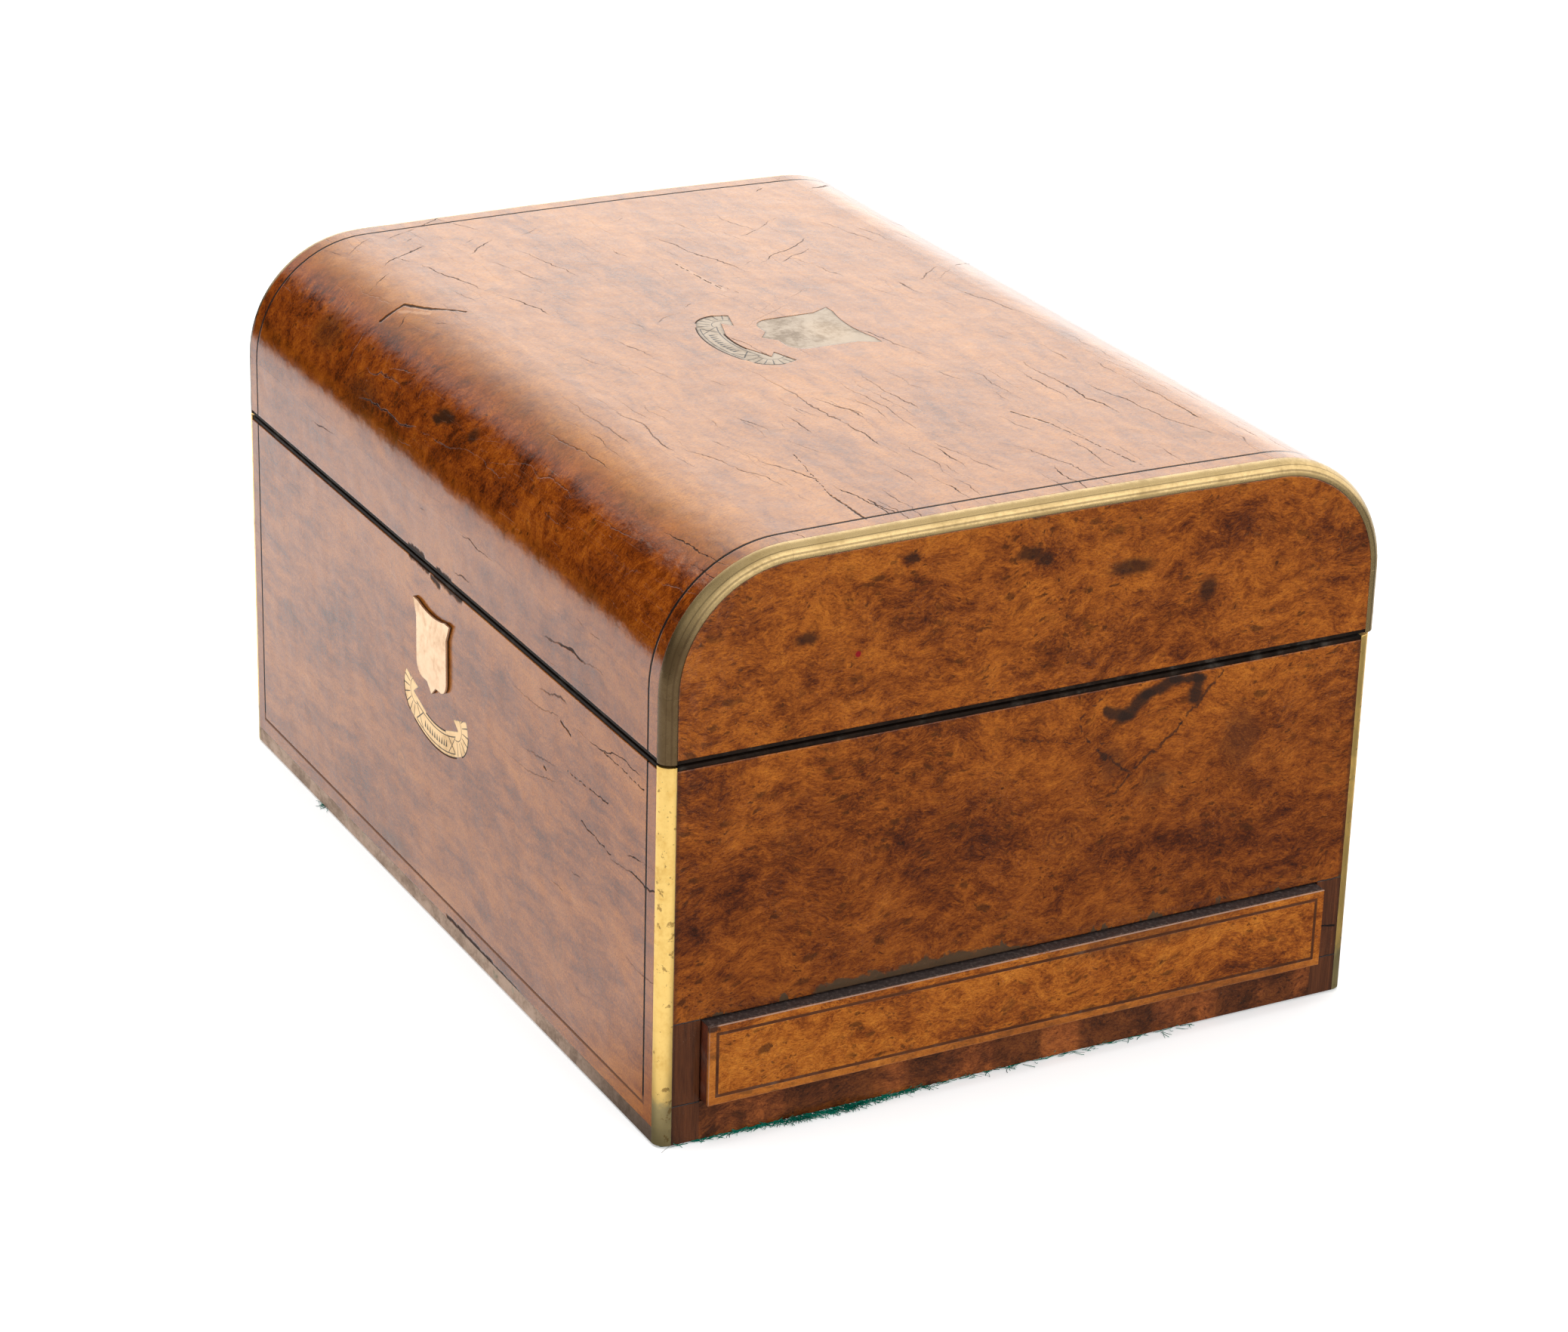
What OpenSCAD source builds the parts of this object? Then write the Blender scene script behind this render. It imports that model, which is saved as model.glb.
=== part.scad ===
// Travelling dressing case: veneered box with a round-cornered lid, brass-bound ends,
// a sprung drawer in the right end and a fitted inside. Millimetres, +Z up, front towards -Y.
// The origin is the centre of the underside.

/* [Case] */
// Length of the case, left to right
case_w = 305; // [290:1:330]
// Depth of the case, front to back
case_d = 228; // [220:1:245]
// Height of the base, from the underside of the wood to the seam
base_h = 114.6; // [110:0.2:125]
// Height of the lid, from the seam to its crown
lid_h = 57.8; // [54:0.2:66]
// Thickness of the carcass boards
board_t = 9; // [8:0.5:10]
// Thickness of the saw-cut veneer
veneer_t = 1; // [0.7:0.1:1.2]
// Gap that shows between lid and base
seam_gap = 0.8; // [0.6:0.1:1]
// Thickness of the black facing on each rim
rim_t = 1.2; // [1:0.1:1.6]
// How far the black facing stands back from the veneer
rim_inset = 0.3; // [0.1:0.1:0.5]
// Thickness of the baize underneath
baize_t = 0.8; // [0.5:0.1:1.5]
// Margin of bare wood around the baize
baize_margin = 1.5; // [1:0.5:4]
// Thickness of the bottom board
bottom_t = 8; // [6:0.5:10]
// Glue line under curved veneer and brass
glue_t = 0.1; // [0.05:0.01:0.15]

/* [Lid] */
// Radius of the lid's long rounded corners
corner_r = 38; // [30:1:42]
// Rise of the lid's crown over its depth
crown_rise = 1.5; // [1:0.1:3]
// How far the lid stands out past the base at the back
lid_overhang = 1.2; // [0:0.1:2]

/* [Brass edging] */
// Width of the square edging on the four corners and the two arches
edge_w = 4.1; // [3.5:0.1:5]
// Flat left on each side of the edging's rounded arris
edge_flat = 0.2; // [0.1:0.1:1]
// Height of the strip along the foot of the front and back
foot_h = 4.8; // [3:0.2:6]
// Thickness of that strip
foot_t = 2.5; // [1.5:0.1:3]

/* [Stringing] */
// Width of the inlaid dark line
string_w = 0.9; // [0.6:0.1:1.2]
// Width of the banding between the brass and the line
band_w = 5; // [4:0.5:9]
// Height of the banding above the foot strip
foot_band_h = 4.5; // [3:0.5:6]

/* [Drawer] */
// Height of the sill below the drawer
drawer_sill = 12; // [11:0.5:14]
// Height of the drawer's opening
opening_h = 25.5; // [24:0.5:30]
// Distance from the case's front face to the drawer's opening
opening_margin = 12.5; // [11.5:0.5:16]
// Gap round the drawer in its opening
drawer_gap = 0.5; // [0.3:0.1:0.8]
// How far the spring holds the released drawer open
drawer_ajar = 4.5; // [3:0.5:8]
// Thickness of the drawer's front under its veneer
drawer_front_t = 8; // [6:0.5:8]
// Thickness of the drawer's sides and back
drawer_side_t = 6; // [5:0.5:7]
// Thickness of the drawer's bottom
drawer_bottom_t = 3; // [2:0.5:4]
// Depth of the groove that holds the bottom
drawer_groove = 2; // [1:0.5:3]
// Height of the groove above the drawer's lower edge
groove_z = 2.5; // [2:0.5:4]
// How far the sides stand below the top of the front
side_drop = 0.8; // [0.5:0.1:1.5]
// Width of the border outside the drawer's inlaid line
drawer_border = 2.2; // [2:0.2:4]
// Room for the kick spring behind the closed drawer
spring_room = 7.5; // [7:0.5:10]
// Thickness of the kick spring's strip
spring_t = 0.8; // [0.5:0.1:1]
// Height of the kick spring's strip
spring_h = 10; // [8:1:12]
// Length of the kick spring between its ends
spring_l = 110; // [90:5:130]
// Thickness of the board over the drawer
dust_t = 5; // [4:0.5:6]
// Gap between the drawer and the board over it
dust_gap = 0.6; // [0.4:0.1:1]
// Running gap between the drawer and its runners
runner_gap = 0.3; // [0.2:0.05:0.4]
// Width of each runner under the drawer
runner_w = 10; // [8:1:14]
// Height of the side guide above the runner
guide_h = 14; // [8:1:16]
// Radius of the padded ring rolls
roll_r = 6; // [5:0.5:7]
// Number of ring rolls
roll_n = 6; // [3:1:8]

/* [Hinges] */
// Distance of each hinge from the middle of the case
hinge_x = 92; // [80:1:105]
// Length of each hinge
hinge_l = 45; // [40:1:55]
// Width of a leaf on the rim
leaf_w = 7.5; // [6:0.5:8]
// Radius of the knuckle
knuckle_r = 2.4; // [2.2:0.1:2.8]
// Radius of the hinge pin
hinge_pin_r = 1; // [0.8:0.1:1.2]
// How far the pin lies behind the lid's back face
hinge_out = 0.9; // [0.7:0.1:1.3]
// Radius of a hinge screw's head
screw_head_r = 1.9; // [1.6:0.1:2.1]
// Radius of a hinge screw's shank
screw_r = 1; // [0.8:0.1:1.2]
// Length of a hinge screw
screw_l = 7; // [6:0.5:9]

/* [Lock] */
// Length of the lock's case
lock_l = 50; // [46:1:56]
// Thickness of the lock's case
lock_t = 5.6; // [5.4:0.1:6]
// Height of the lock's case
lock_h = 32; // [30:1:36]
// Wall of the lock's case
lock_wall = 1.2; // [1:0.1:1.3]
// Distance of each hook from the middle of the lock
hook_x = 13; // [12:0.5:14]
// Travel of the bolt
bolt_throw = 2.8; // [2.4:0.1:2.8]
// Depth of the keyhole's middle below the seam
key_drop = 27; // [25:1:29]
// Radius of the keyhole
key_r = 1.7; // [1.4:0.1:2]

/* [Cartouches] */
// Width of the keyhole cover across its ears
cover_w = 27; // [24:1:32]
// Height of the keyhole cover
cover_h = 26.6; // [24:0.2:30]
// Thickness of the keyhole cover
cover_t = 0.9; // [0.7:0.1:1.2]
// Gap behind the swinging cover
cover_gap = 0.1; // [0.05:0.05:0.2]
// Distance from the seam down to the top of the cover
cover_drop = 12.4; // [11:0.2:15]
// Distance of the keyhole cover from the middle
cover_x = -1; // [-2:0.5:2]
// Radius of the cover's pivot pin
pivot_r = 0.8; // [0.6:0.1:1]
// Width of the ribbon under the cover
ribbon_w = 47.6; // [42:0.2:52]
// Breadth of the ribbon's band
ribbon_band = 7.2; // [6:0.2:8]
// Width of the plate on the lid across its ears
plate_w = 35.6; // [30:0.2:40]
// Height of the plate on the lid
plate_h = 31.4; // [28:0.2:36]
// Distance from the lid's middle down to the point of its plate
plate_drop = 7.8; // [5:0.2:10]
// Distance from a plate's point down to the lowest edge of its ribbon
ribbon_drop = 17; // [15.4:0.2:20]

/* [Fitted inside] */
// Width of the compartments at each end
cell_w = 54; // [52:1:58]
// Depth of the compartments along the front and back
row_d = 40; // [38:1:44]
// Thickness of the partitions
part_t = 3; // [2:0.5:4]
// Distance from the seam down to the partitions
part_drop = 5; // [4.5:0.5:9]
// Thickness of the velvet floor
velvet_t = 1.2; // [0.8:0.1:1.6]
// Height of the lift-out tray
tray_h = 30; // [24:1:34]
// Wall of the tray
tray_wall = 4; // [3:0.5:5]
// Thickness of the tray's floor
tray_floor = 3; // [2:0.5:4]
// Gap round the tray
tray_gap = 0.4; // [0.3:0.1:0.8]
// Width of the ledge under the tray
ledge_w = 5; // [4:0.5:7]
// Height of the ledge
ledge_h = 5; // [4:0.5:7]
// Side of a square jar
jar_w = 48; // [44:1:49]
// Gap between a jar and the partition beside it
jar_gap = 1.5; // [1:0.5:2.5]
// Rounding of a jar's upright edges
jar_round = 6; // [4:0.5:8]
// Wall of the glass
glass_t = 4; // [3:0.5:5]
// Distance from the top of the partitions down to a jar's cover
jar_room = 4.8; // [3:0.2:10]
// Height of the ground rim inside a cover
rim_h = 5; // [4:0.5:6]
// Height of a silver cover
silver_h = 8.5; // [8:0.5:9.5]
// Wall of a silver cover
silver_t = 1; // [0.8:0.1:1.4]
// Gap between a ground rim and its cover
silver_gap = 0.15; // [0.1:0.05:0.3]
// Radius of a scent bottle
bottle_r = 22; // [19:1:24]
// Height of a scent bottle up to its shoulder
bottle_h = 36; // [30:1:40]
// Radius of a scent bottle's neck
neck_r = 11; // [9:0.5:12]
// Gap round the long glass boxes
long_gap = 2; // [1.5:0.5:4]
// Radius of the drawer's release pin
pin_r = 1.5; // [1.2:0.1:1.8]
// Distance of the release pin from the right wall
pin_in = 22.5; // [20:0.5:30]
// Length of the release pin's knob
knob_h = 7; // [6:0.5:8]

/* [Mirror] */
// Thickness of the mirror's frame
frame_t = 6; // [5:0.5:8]
// Breadth of the mirror's frame
frame_w = 24; // [18:1:30]
// Thickness of the mirror glass
mirror_t = 3; // [2:0.5:3.5]
// Lap of the frame over the mirror
mirror_lap = 4; // [3:0.5:6]
// Distance from the seam up to the frame
frame_up = 2.2; // [2:0.2:4]
// Thickness of the board behind the mirror
back_t = 3; // [2:0.5:4]

/* [Hidden] */
$fn = 48;
eps = 1;
curl_in = 0.05;

// Outline of the base
half_w = case_w / 2;
half_d = case_d / 2;
wood_z = baize_t;
base_top = wood_z + base_h;
board_top = base_top - rim_t;
wall_t = veneer_t + board_t;
in_w = half_w - wall_t;
in_d = half_d - wall_t;
core_w = half_w - veneer_t;
core_d = half_d - veneer_t;
edge_round = edge_w - edge_flat;
edge_in_w = half_w - edge_w;
edge_in_d = half_d - edge_w;

// Outline of the lid
lid_bottom = base_top + seam_gap;
lid_wood = lid_bottom + rim_t;
lid_top = lid_bottom + lid_h;
lid_half = half_d + lid_overhang / 2;
lid_mid = lid_overhang / 2;
crown_r = (lid_half * lid_half + crown_rise * crown_rise) / (2 * crown_rise);
crown_z = lid_top - crown_r;
corner_y = lid_half - corner_r;
crown_a = asin(corner_y / (crown_r - corner_r));
corner_z = crown_z + (crown_r - corner_r) * cos(crown_a);
skin_u = veneer_t + glue_t;
field_w = edge_in_w - band_w - string_w;
sweep_joint = 0.03;
glue_gap = 0.05;

// Drawer, given where it lies when it is shut
open_d = half_d - opening_margin;
open_z = wood_z + drawer_sill;
open_top = open_z + opening_h;
drawer_d = open_d - drawer_gap;
drawer_z = open_z + drawer_gap;
drawer_top = open_top - drawer_gap;
side_top = drawer_top - side_drop;
drawer_face = half_w;
front_x = half_w - veneer_t - drawer_front_t;
back_x = -in_w + spring_room;
bottom_z = drawer_z + groove_z;
dust_z = open_top + dust_gap;
dust_top = dust_z + dust_t;
drawer_floor = bottom_z + drawer_bottom_t + velvet_t;
drawer_in_d = drawer_d - drawer_side_t;
roll_pitch = 2 * roll_r;
roll_block = roll_n * roll_pitch;

// Hinges
pin_y = half_d + lid_overhang + hinge_out;
pin_z = base_top + seam_gap / 2;
knuckle_gap = 0.3;
knuckles = 5;
knuckle_l = hinge_l / knuckles;
leaf_in = in_d + (wall_t - leaf_w);
screw_head_t = 0.7;
screw_play = 0.05;
screw_inset = 6;

// Lock
lock_front = -in_d - lock_t;
lock_z = base_top - lock_h;
selvedge_l = lock_l + 4;
selvedge_w = lock_t + 1.4;
bolt_t = lock_t - 2 * lock_wall - 0.6;
bolt_y = -in_d - lock_t / 2;
bolt_depth = 19.7;
bolt_floor = base_top - bolt_depth;
bolt_play = 0.3;
bar_h = 4;
hook_drop = 11.4;
toe_h = 2.5;
toe_l = 2.6;
stem_w = 3;
tooth_z = base_top - hook_drop + toe_h + 0.4;
tooth_h = 2.4;
tooth_l = 4.4;
riser_w = 1.6;
tooth_gap = 0.5;
key_z = base_top - key_drop;
key_slot = 1.6;
key_chamber = 6;

// Cartouches
cover_z = base_top - cover_drop - cover_h;
pivot_z = base_top - cover_drop - 3.5;

// Fitted inside
part_top = base_top - part_drop;
floor_z = dust_top + velvet_t;
well_w = in_w - cell_w - part_t;
well_d = in_d - row_d - part_t;
cell_d = (2 * in_d - 2 * part_t) / 3;
cell_x = in_w - cell_w / 2;
jar_y = cell_d / 2 + part_t + jar_gap + jar_w / 2;
row_y = in_d - row_d / 2;
tray_z = part_top - tray_h;
tray_w = well_w - tray_gap;
tray_d = well_d - tray_gap;
tray_split = -tray_d + (2 * tray_d) * 0.36;
tray_web = 3;
long_w = 2 * (well_w - long_gap);
long_d = row_d - 2 * long_gap;
jar_top = part_top - jar_room - silver_h;
jar_h = jar_top - floor_z;
bottle_top = floor_z + bottle_h;
shoulder_r = bottle_r - neck_r;
neck_top = bottle_top + shoulder_r + 4;
cap_r = neck_r + 2.5;
cap_dome = 7;
pin_x = in_w - pin_in;
pin_yy = -(drawer_d - drawer_side_t / 2);
pin_tip = side_top + runner_gap;
pin_top = part_top - knob_h;
pin_play = 0.08;
pin_reach = 6;
bush_r = pin_r + 1;
bush_flange = 1;
bracket_drop = 8;
bracket_h = 5;
bracket_z = pin_top - bracket_drop;

// Mirror
frame_z = lid_bottom + frame_up;
lid_in_half = lid_half - wall_t;
mirror_z = frame_z + frame_t - mirror_t;

// A box between two corners
module block(lo, hi) {
    translate(lo) cube(hi - lo);
}

// A rectangle with round corners, centred on the origin
module round_rect(w, d, r) {
    square([w - 2 * r, d], center = true);
    square([w, d - 2 * r], center = true);
    for (sx = [-1, 1], sy = [-1, 1])
        translate([sx * (w / 2 - r), sy * (d / 2 - r)]) circle(r);
}

// A square bar with the arris at the origin rounded
module edge_section() {
    translate([edge_round, 0]) square([edge_flat, edge_w]);
    translate([0, edge_round]) square([edge_w, edge_flat]);
    intersection() {
        translate([edge_round, edge_round]) circle(edge_round);
        square([edge_w, edge_w]);
    }
}

// The lid's section, swept: children are drawn with x as depth below the lid's surface and y
// along the length of the case
module arch_side(back, z0, joint) {
    translate([0, lid_mid, z0]) mirror([0, back, 0]) translate([0, -lid_half, 0])
        linear_extrude(corner_z - joint - z0) mirror([1, -1, 0]) children();
}

module arch_corner(back) {
    translate([0, lid_mid, corner_z]) mirror([0, back, 0]) translate([0, -corner_y, 0])
        rotate([90, 0, 90]) rotate([0, 0, 90 + crown_a])
            rotate_extrude(angle = 90 - crown_a, $fn = 96)
                translate([corner_r, 0]) mirror([1, 0]) children();
}

module arch_crown(joint) {
    half_a = crown_a - asin(joint / crown_r);
    translate([0, lid_mid, crown_z]) rotate([90, 0, 90]) rotate([0, 0, 90 - half_a])
        rotate_extrude(angle = 2 * half_a, $fn = 1080)
            translate([crown_r, 0]) mirror([1, 0]) children();
}

module arch_sweep(z0 = lid_wood) {
    for (back = [0, 1]) {
        arch_side(back, z0, sweep_joint) children();
        arch_corner(back) children();
    }
    arch_crown(sweep_joint) children();
}

// The lid's end outline, in by u from the surface, with x along the depth and y up
module arch_region(u) {
    reach = crown_r + eps;
    translate([lid_mid, 0]) intersection() {
        union() {
            translate([u - lid_half, lid_wood]) square([2 * (lid_half - u), corner_z - lid_wood]);
            for (s = [-1, 1]) translate([s * corner_y, corner_z]) circle(corner_r - u, $fn = 96);
            polygon([[-corner_y, lid_wood], [-corner_y, corner_z],
                [-reach * sin(crown_a), crown_z + reach * cos(crown_a)],
                [reach * sin(crown_a), crown_z + reach * cos(crown_a)],
                [corner_y, corner_z], [corner_y, lid_wood]]);
        }
        translate([0, crown_z]) circle(crown_r - u, $fn = 1080);
        translate([-lid_half, lid_wood]) square([2 * lid_half, lid_h]);
    }
}

// A slice of the lid's end, from x0 to x1
module arch_slice(u, x0, x1) {
    translate([x0, 0, 0]) rotate([90, 0, 90]) linear_extrude(x1 - x0) arch_region(u);
}

module both_ends() {
    for (s = [0, 1]) mirror([s, 0, 0]) children();
}

module both_faces() {
    for (s = [0, 1]) mirror([0, s, 0]) children();
}

// Cartouche outlines, with y up and the point or the lowest edge at the origin
module shield(w, h) {
    waist = 0.41 * w;
    lobe_r = 0.17 * w;
    lobe_y = 0.11 * h + lobe_r;
    difference() {
        union() {
            translate([-waist, lobe_y]) square([2 * waist, h - lobe_y]);
            polygon([[-waist, 0.8 * h], [-0.5 * w, h], [0.5 * w, h], [waist, 0.8 * h]]);
            for (s = [-1, 1]) translate([s * (waist - lobe_r), lobe_y]) circle(lobe_r);
            polygon([[-waist + lobe_r, lobe_y], [-waist + lobe_r, 0.11 * h], [-0.12 * w, 0.11 * h],
                [0, 0], [0.12 * w, 0.11 * h], [waist - lobe_r, 0.11 * h], [waist - lobe_r, lobe_y]]);
        }
        translate([0, h + 1.35 * w]) circle(1.4 * w, $fn = 96);
    }
}

// The ribbon's band bends round at each end, where a wedge parts the curl from the band. The
// curl lies a little inside the band's arc, so that the two outlines cross and don't touch.
module ribbon() {
    mid_r = 6 * ribbon_band;
    end_r = 1.22 * ribbon_band;
    end_x = ribbon_w / 2 - end_r;
    end_y = mid_r - sqrt(pow(mid_r - end_r, 2) - end_x * end_x);
    fan = 2 * mid_r * end_x / (mid_r - end_y);
    difference() {
        union() {
            intersection() {
                translate([0, mid_r]) difference() {
                    circle(mid_r, $fn = 180);
                    circle(mid_r - ribbon_band, $fn = 180);
                }
                polygon([[0, mid_r], [-fan, -mid_r], [fan, -mid_r]]);
            }
            for (s = [-1, 1]) translate([s * end_x, end_y]) circle(end_r - curl_in);
        }
        for (s = [0, 1]) mirror([s, 0]) translate([-end_x, end_y]) {
            translate([0, 0.36 * ribbon_band]) rotate(-17)
                translate([-2 * end_r, 0]) square([4 * end_r, 2 * end_r]);
            scale(ribbon_band)
                polygon([[-0.22, -0.07], [1.4, 1.1], [2.2, 1.1], [2.2, -0.55], [1.1, -0.53]]);
        }
    }
}

// Cutters that the base and the lid share
module foot_notch() {
    both_faces() block([-half_w, -half_d - eps, wood_z - eps],
        [half_w, -half_d + foot_t, wood_z + foot_h]);
}

module corner_notch() {
    both_ends() both_faces() block([edge_in_w, edge_in_d, wood_z - eps],
        [half_w + eps, half_d + eps, base_top + eps]);
}

module knuckle_notch() {
    both_ends() translate([hinge_x - hinge_l / 2 - knuckle_gap, pin_y, pin_z])
        rotate([0, 90, 0]) cylinder(h = hinge_l + 2 * knuckle_gap, r = knuckle_r + knuckle_gap);
}

module leaf_notch(z0, z1) {
    both_ends() block([hinge_x - hinge_l / 2, leaf_in, z0], [hinge_x + hinge_l / 2, pin_y, z1]);
}

module screw_places() {
    both_ends() for (k = [-1, 0, 1])
        translate([hinge_x + k * (hinge_l / 2 - screw_inset), leaf_in + leaf_w * 0.42, 0]) children();
}

module screw_holes(z, turn, r) {
    screw_places() translate([0, 0, z]) mirror([0, 0, turn]) translate([0, 0, -screw_l])
        cylinder(h = screw_l, r = r, $fn = 24);
}

module keyhole(y0, y1) {
    translate([0, y1, key_z]) rotate([90, 0, 0]) cylinder(h = y1 - y0, r = key_r, $fn = 24);
    block([-key_slot / 2, y0, key_z - 3 * key_r], [key_slot / 2, y1, key_z]);
}

module lock_body() {
    block([-lock_l / 2, lock_front, lock_z], [lock_l / 2, -in_d, board_top]);
}

module selvedge(z0, z1) {
    block([-selvedge_l / 2, -in_d - selvedge_w, z0], [selvedge_l / 2, -in_d, z1]);
}

// Carcass of the base
module front_board() {
    color("#7a4a2a") difference() {
        block([-in_w, -core_d, wood_z], [in_w, -in_d, board_top]);
        foot_notch();
        lock_body();
        keyhole(-half_d, lock_front);
        translate([cover_x, -core_d + 2.8, pivot_z]) rotate([90, 0, 0])
            cylinder(h = 2.8 + eps, r = pivot_r + screw_play, $fn = 24);
    }
}

module back_board() {
    color("#7a4a2a") difference() {
        block([-in_w, in_d, wood_z], [in_w, core_d, board_top]);
        foot_notch();
        knuckle_notch();
        screw_holes(base_top, 0, screw_r + screw_play);
    }
}

module end_board() {
    difference() {
        block([in_w, -core_d, wood_z], [core_w, core_d, board_top]);
        corner_notch();
        foot_notch();
    }
}

module left_board() {
    color("#7a4a2a") mirror([1, 0, 0]) end_board();
}

module right_board() {
    color("#7a4a2a") difference() {
        end_board();
        block([in_w - eps, -open_d, open_z], [half_w, open_d, open_top]);
    }
}

module bottom_board() {
    color("#8a5a34") block([-in_w, -in_d, wood_z], [in_w, in_d, wood_z + bottom_t]);
}

module dust_board() {
    color("#8a5a34") difference() {
        block([-in_w, -in_d, dust_z], [in_w, in_d, dust_top]);
        translate([pin_x, pin_yy, dust_z - eps])
            cylinder(h = dust_t + 2 * eps, r = bush_r, $fn = 24);
    }
}

module drawer_runners() {
    top = drawer_z - runner_gap;
    color("#8a5a34") both_faces() {
        block([-in_w, drawer_d - runner_w, wood_z + bottom_t], [in_w, in_d, top]);
        block([-in_w, drawer_d + runner_gap, top], [in_w, in_d, top + guide_h]);
    }
}

// Veneer, banding and lines of the base
module front_sheet(x0, z0, x1, z1) {
    block([x0, -half_d, z0], [x1, -core_d, z1]);
}

module front_veneer() {
    band_z = wood_z + foot_h;
    field_z = band_z + foot_band_h + string_w;
    band_x = edge_in_w - band_w;
    color("#9c5a2c") difference() {
        union() {
            front_sheet(-field_w, field_z, field_w, board_top);
            for (s = [0, 1]) mirror([s, 0, 0])
                front_sheet(band_x, band_z, edge_in_w, board_top);
            front_sheet(-band_x, band_z, band_x, band_z + foot_band_h);
        }
        keyhole(-half_d - eps, -core_d + eps);
        translate([cover_x, -core_d + eps, pivot_z]) rotate([90, 0, 0])
            cylinder(h = veneer_t + 2 * eps, r = pivot_r + screw_play, $fn = 24);
        front_ribbon_solid();
    }
}

module front_stringing() {
    line_z = wood_z + foot_h + foot_band_h;
    color("#1d130d") {
        both_ends() front_sheet(field_w, line_z, field_w + string_w, board_top);
        front_sheet(-field_w, line_z, field_w, line_z + string_w);
    }
}

module back_veneer() {
    color("#9c5a2c") difference() {
        block([-edge_in_w, core_d, wood_z + foot_h], [edge_in_w, half_d, board_top]);
        knuckle_notch();
    }
}

module left_veneer() {
    color("#9c5a2c")
        block([-half_w, -edge_in_d, wood_z], [-core_w, edge_in_d, board_top]);
}

module right_veneer() {
    joint = 0.05;
    color("#a8622c") {
        block([core_w, -edge_in_d, open_top + joint], [half_w, edge_in_d, board_top]);
        block([core_w, -edge_in_d, wood_z], [half_w, edge_in_d, open_z - joint]);
        both_faces() block([core_w, open_d, open_z], [half_w, edge_in_d, open_top]);
    }
}

module corner_brass() {
    color("#b8933f") both_ends() both_faces()
        translate([half_w, half_d, wood_z]) linear_extrude(base_h)
            mirror([1, 0]) mirror([0, 1]) edge_section();
}

module foot_brass() {
    color("#8d7440") both_faces()
        block([-edge_in_w, -half_d, wood_z], [edge_in_w, -half_d + foot_t, wood_z + foot_h]);
}

module rim_frame(z0, z1, y0, y1) {
    difference() {
        block([-half_w + rim_inset, y0 + rim_inset, z0], [half_w - rim_inset, y1 - rim_inset, z1]);
        block([-in_w, y0 + wall_t, z0 - eps], [in_w, y1 - wall_t, z1 + eps]);
    }
}

module base_rim() {
    color("#17110d") difference() {
        rim_frame(board_top, base_top, -half_d, half_d);
        corner_notch();
        knuckle_notch();
        leaf_notch(board_top - eps, base_top + eps);
        selvedge(board_top - eps, base_top + eps);
    }
}

module baize() {
    color("#1f6b4a") block([-half_w + baize_margin, -half_d + baize_margin, 0],
        [half_w - baize_margin, half_d - baize_margin, baize_t]);
}

// Lock, its bolt and the hooks on the lid
module hook_places() {
    for (s = [-1, 1]) translate([s * hook_x, bolt_y, 0]) children();
}

module lock_case() {
    well_y0 = lock_front + lock_wall;
    well_y1 = -in_d - lock_wall;
    color("#b08a3c") {
        difference() {
            union() {
                lock_body();
                selvedge(board_top, base_top);
            }
            block([-lock_l / 2 + lock_wall, well_y0, bolt_floor],
                [lock_l / 2 - lock_wall, well_y1, board_top]);
            block([-key_chamber, well_y0, lock_z + lock_wall], [key_chamber, well_y1, board_top]);
            keyhole(lock_front - eps, well_y0 + eps);
            hook_places() block([-stem_w / 2 - toe_l - tooth_gap, -bolt_t / 2 - bolt_play, board_top - eps],
                [stem_w / 2 + tooth_gap, bolt_t / 2 + bolt_play, base_top + eps]);
        }
        translate([0, well_y1 + 0.2, key_z]) rotate([90, 0, 0])
            cylinder(h = well_y1 - well_y0, r = key_r * 0.5, $fn = 24);
    }
}

module lock_bolt() {
    tooth_x = -stem_w / 2 - toe_l - tooth_gap;
    bar_z = bolt_floor + bolt_play;
    color("#8f8f88") translate([0, bolt_y, 0]) {
        block([-hook_x + tooth_x - tooth_l, -bolt_t / 2, bar_z],
            [hook_x + tooth_x, bolt_t / 2, bar_z + bar_h]);
        for (s = [-1, 1]) translate([s * hook_x + tooth_x, 0, 0]) {
            block([-tooth_l, -bolt_t / 2, bar_z], [-tooth_l + riser_w, bolt_t / 2, tooth_z + tooth_h]);
            block([-tooth_l, -bolt_t / 2, tooth_z], [0, bolt_t / 2, tooth_z + tooth_h]);
        }
    }
}

module lock_strike() {
    color("#b08a3c") {
        selvedge(lid_bottom, lid_wood);
        hook_places() {
            block([-stem_w / 2, -bolt_t / 2, base_top - hook_drop],
                [stem_w / 2, bolt_t / 2, lid_bottom]);
            block([-stem_w / 2 - toe_l, -bolt_t / 2, base_top - hook_drop],
                [-stem_w / 2, bolt_t / 2, base_top - hook_drop + toe_h]);
        }
    }
}

module keyhole_cover() {
    face_y = half_d + cover_gap + cover_t;
    color("#d9a878") difference() {
        translate([cover_x, -half_d - cover_gap, cover_z]) rotate([90, 0, 0])
            linear_extrude(cover_t) shield(cover_w, cover_h);
        translate([cover_x, eps - half_d, pivot_z]) rotate([90, 0, 0])
            cylinder(h = face_y - half_d + 2 * eps, r = pivot_r, $fn = 24);
    }
    color("#c99a62") translate([cover_x, -core_d + 2.5, pivot_z]) rotate([90, 0, 0])
        cylinder(h = face_y - core_d + 2.5, r = pivot_r, $fn = 24);
}

module front_ribbon_solid() {
    translate([0, -core_d, cover_z - ribbon_drop]) rotate([90, 0, 0])
        linear_extrude(veneer_t) ribbon();
}

module front_ribbon() {
    color("#c8a659") front_ribbon_solid();
}

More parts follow.
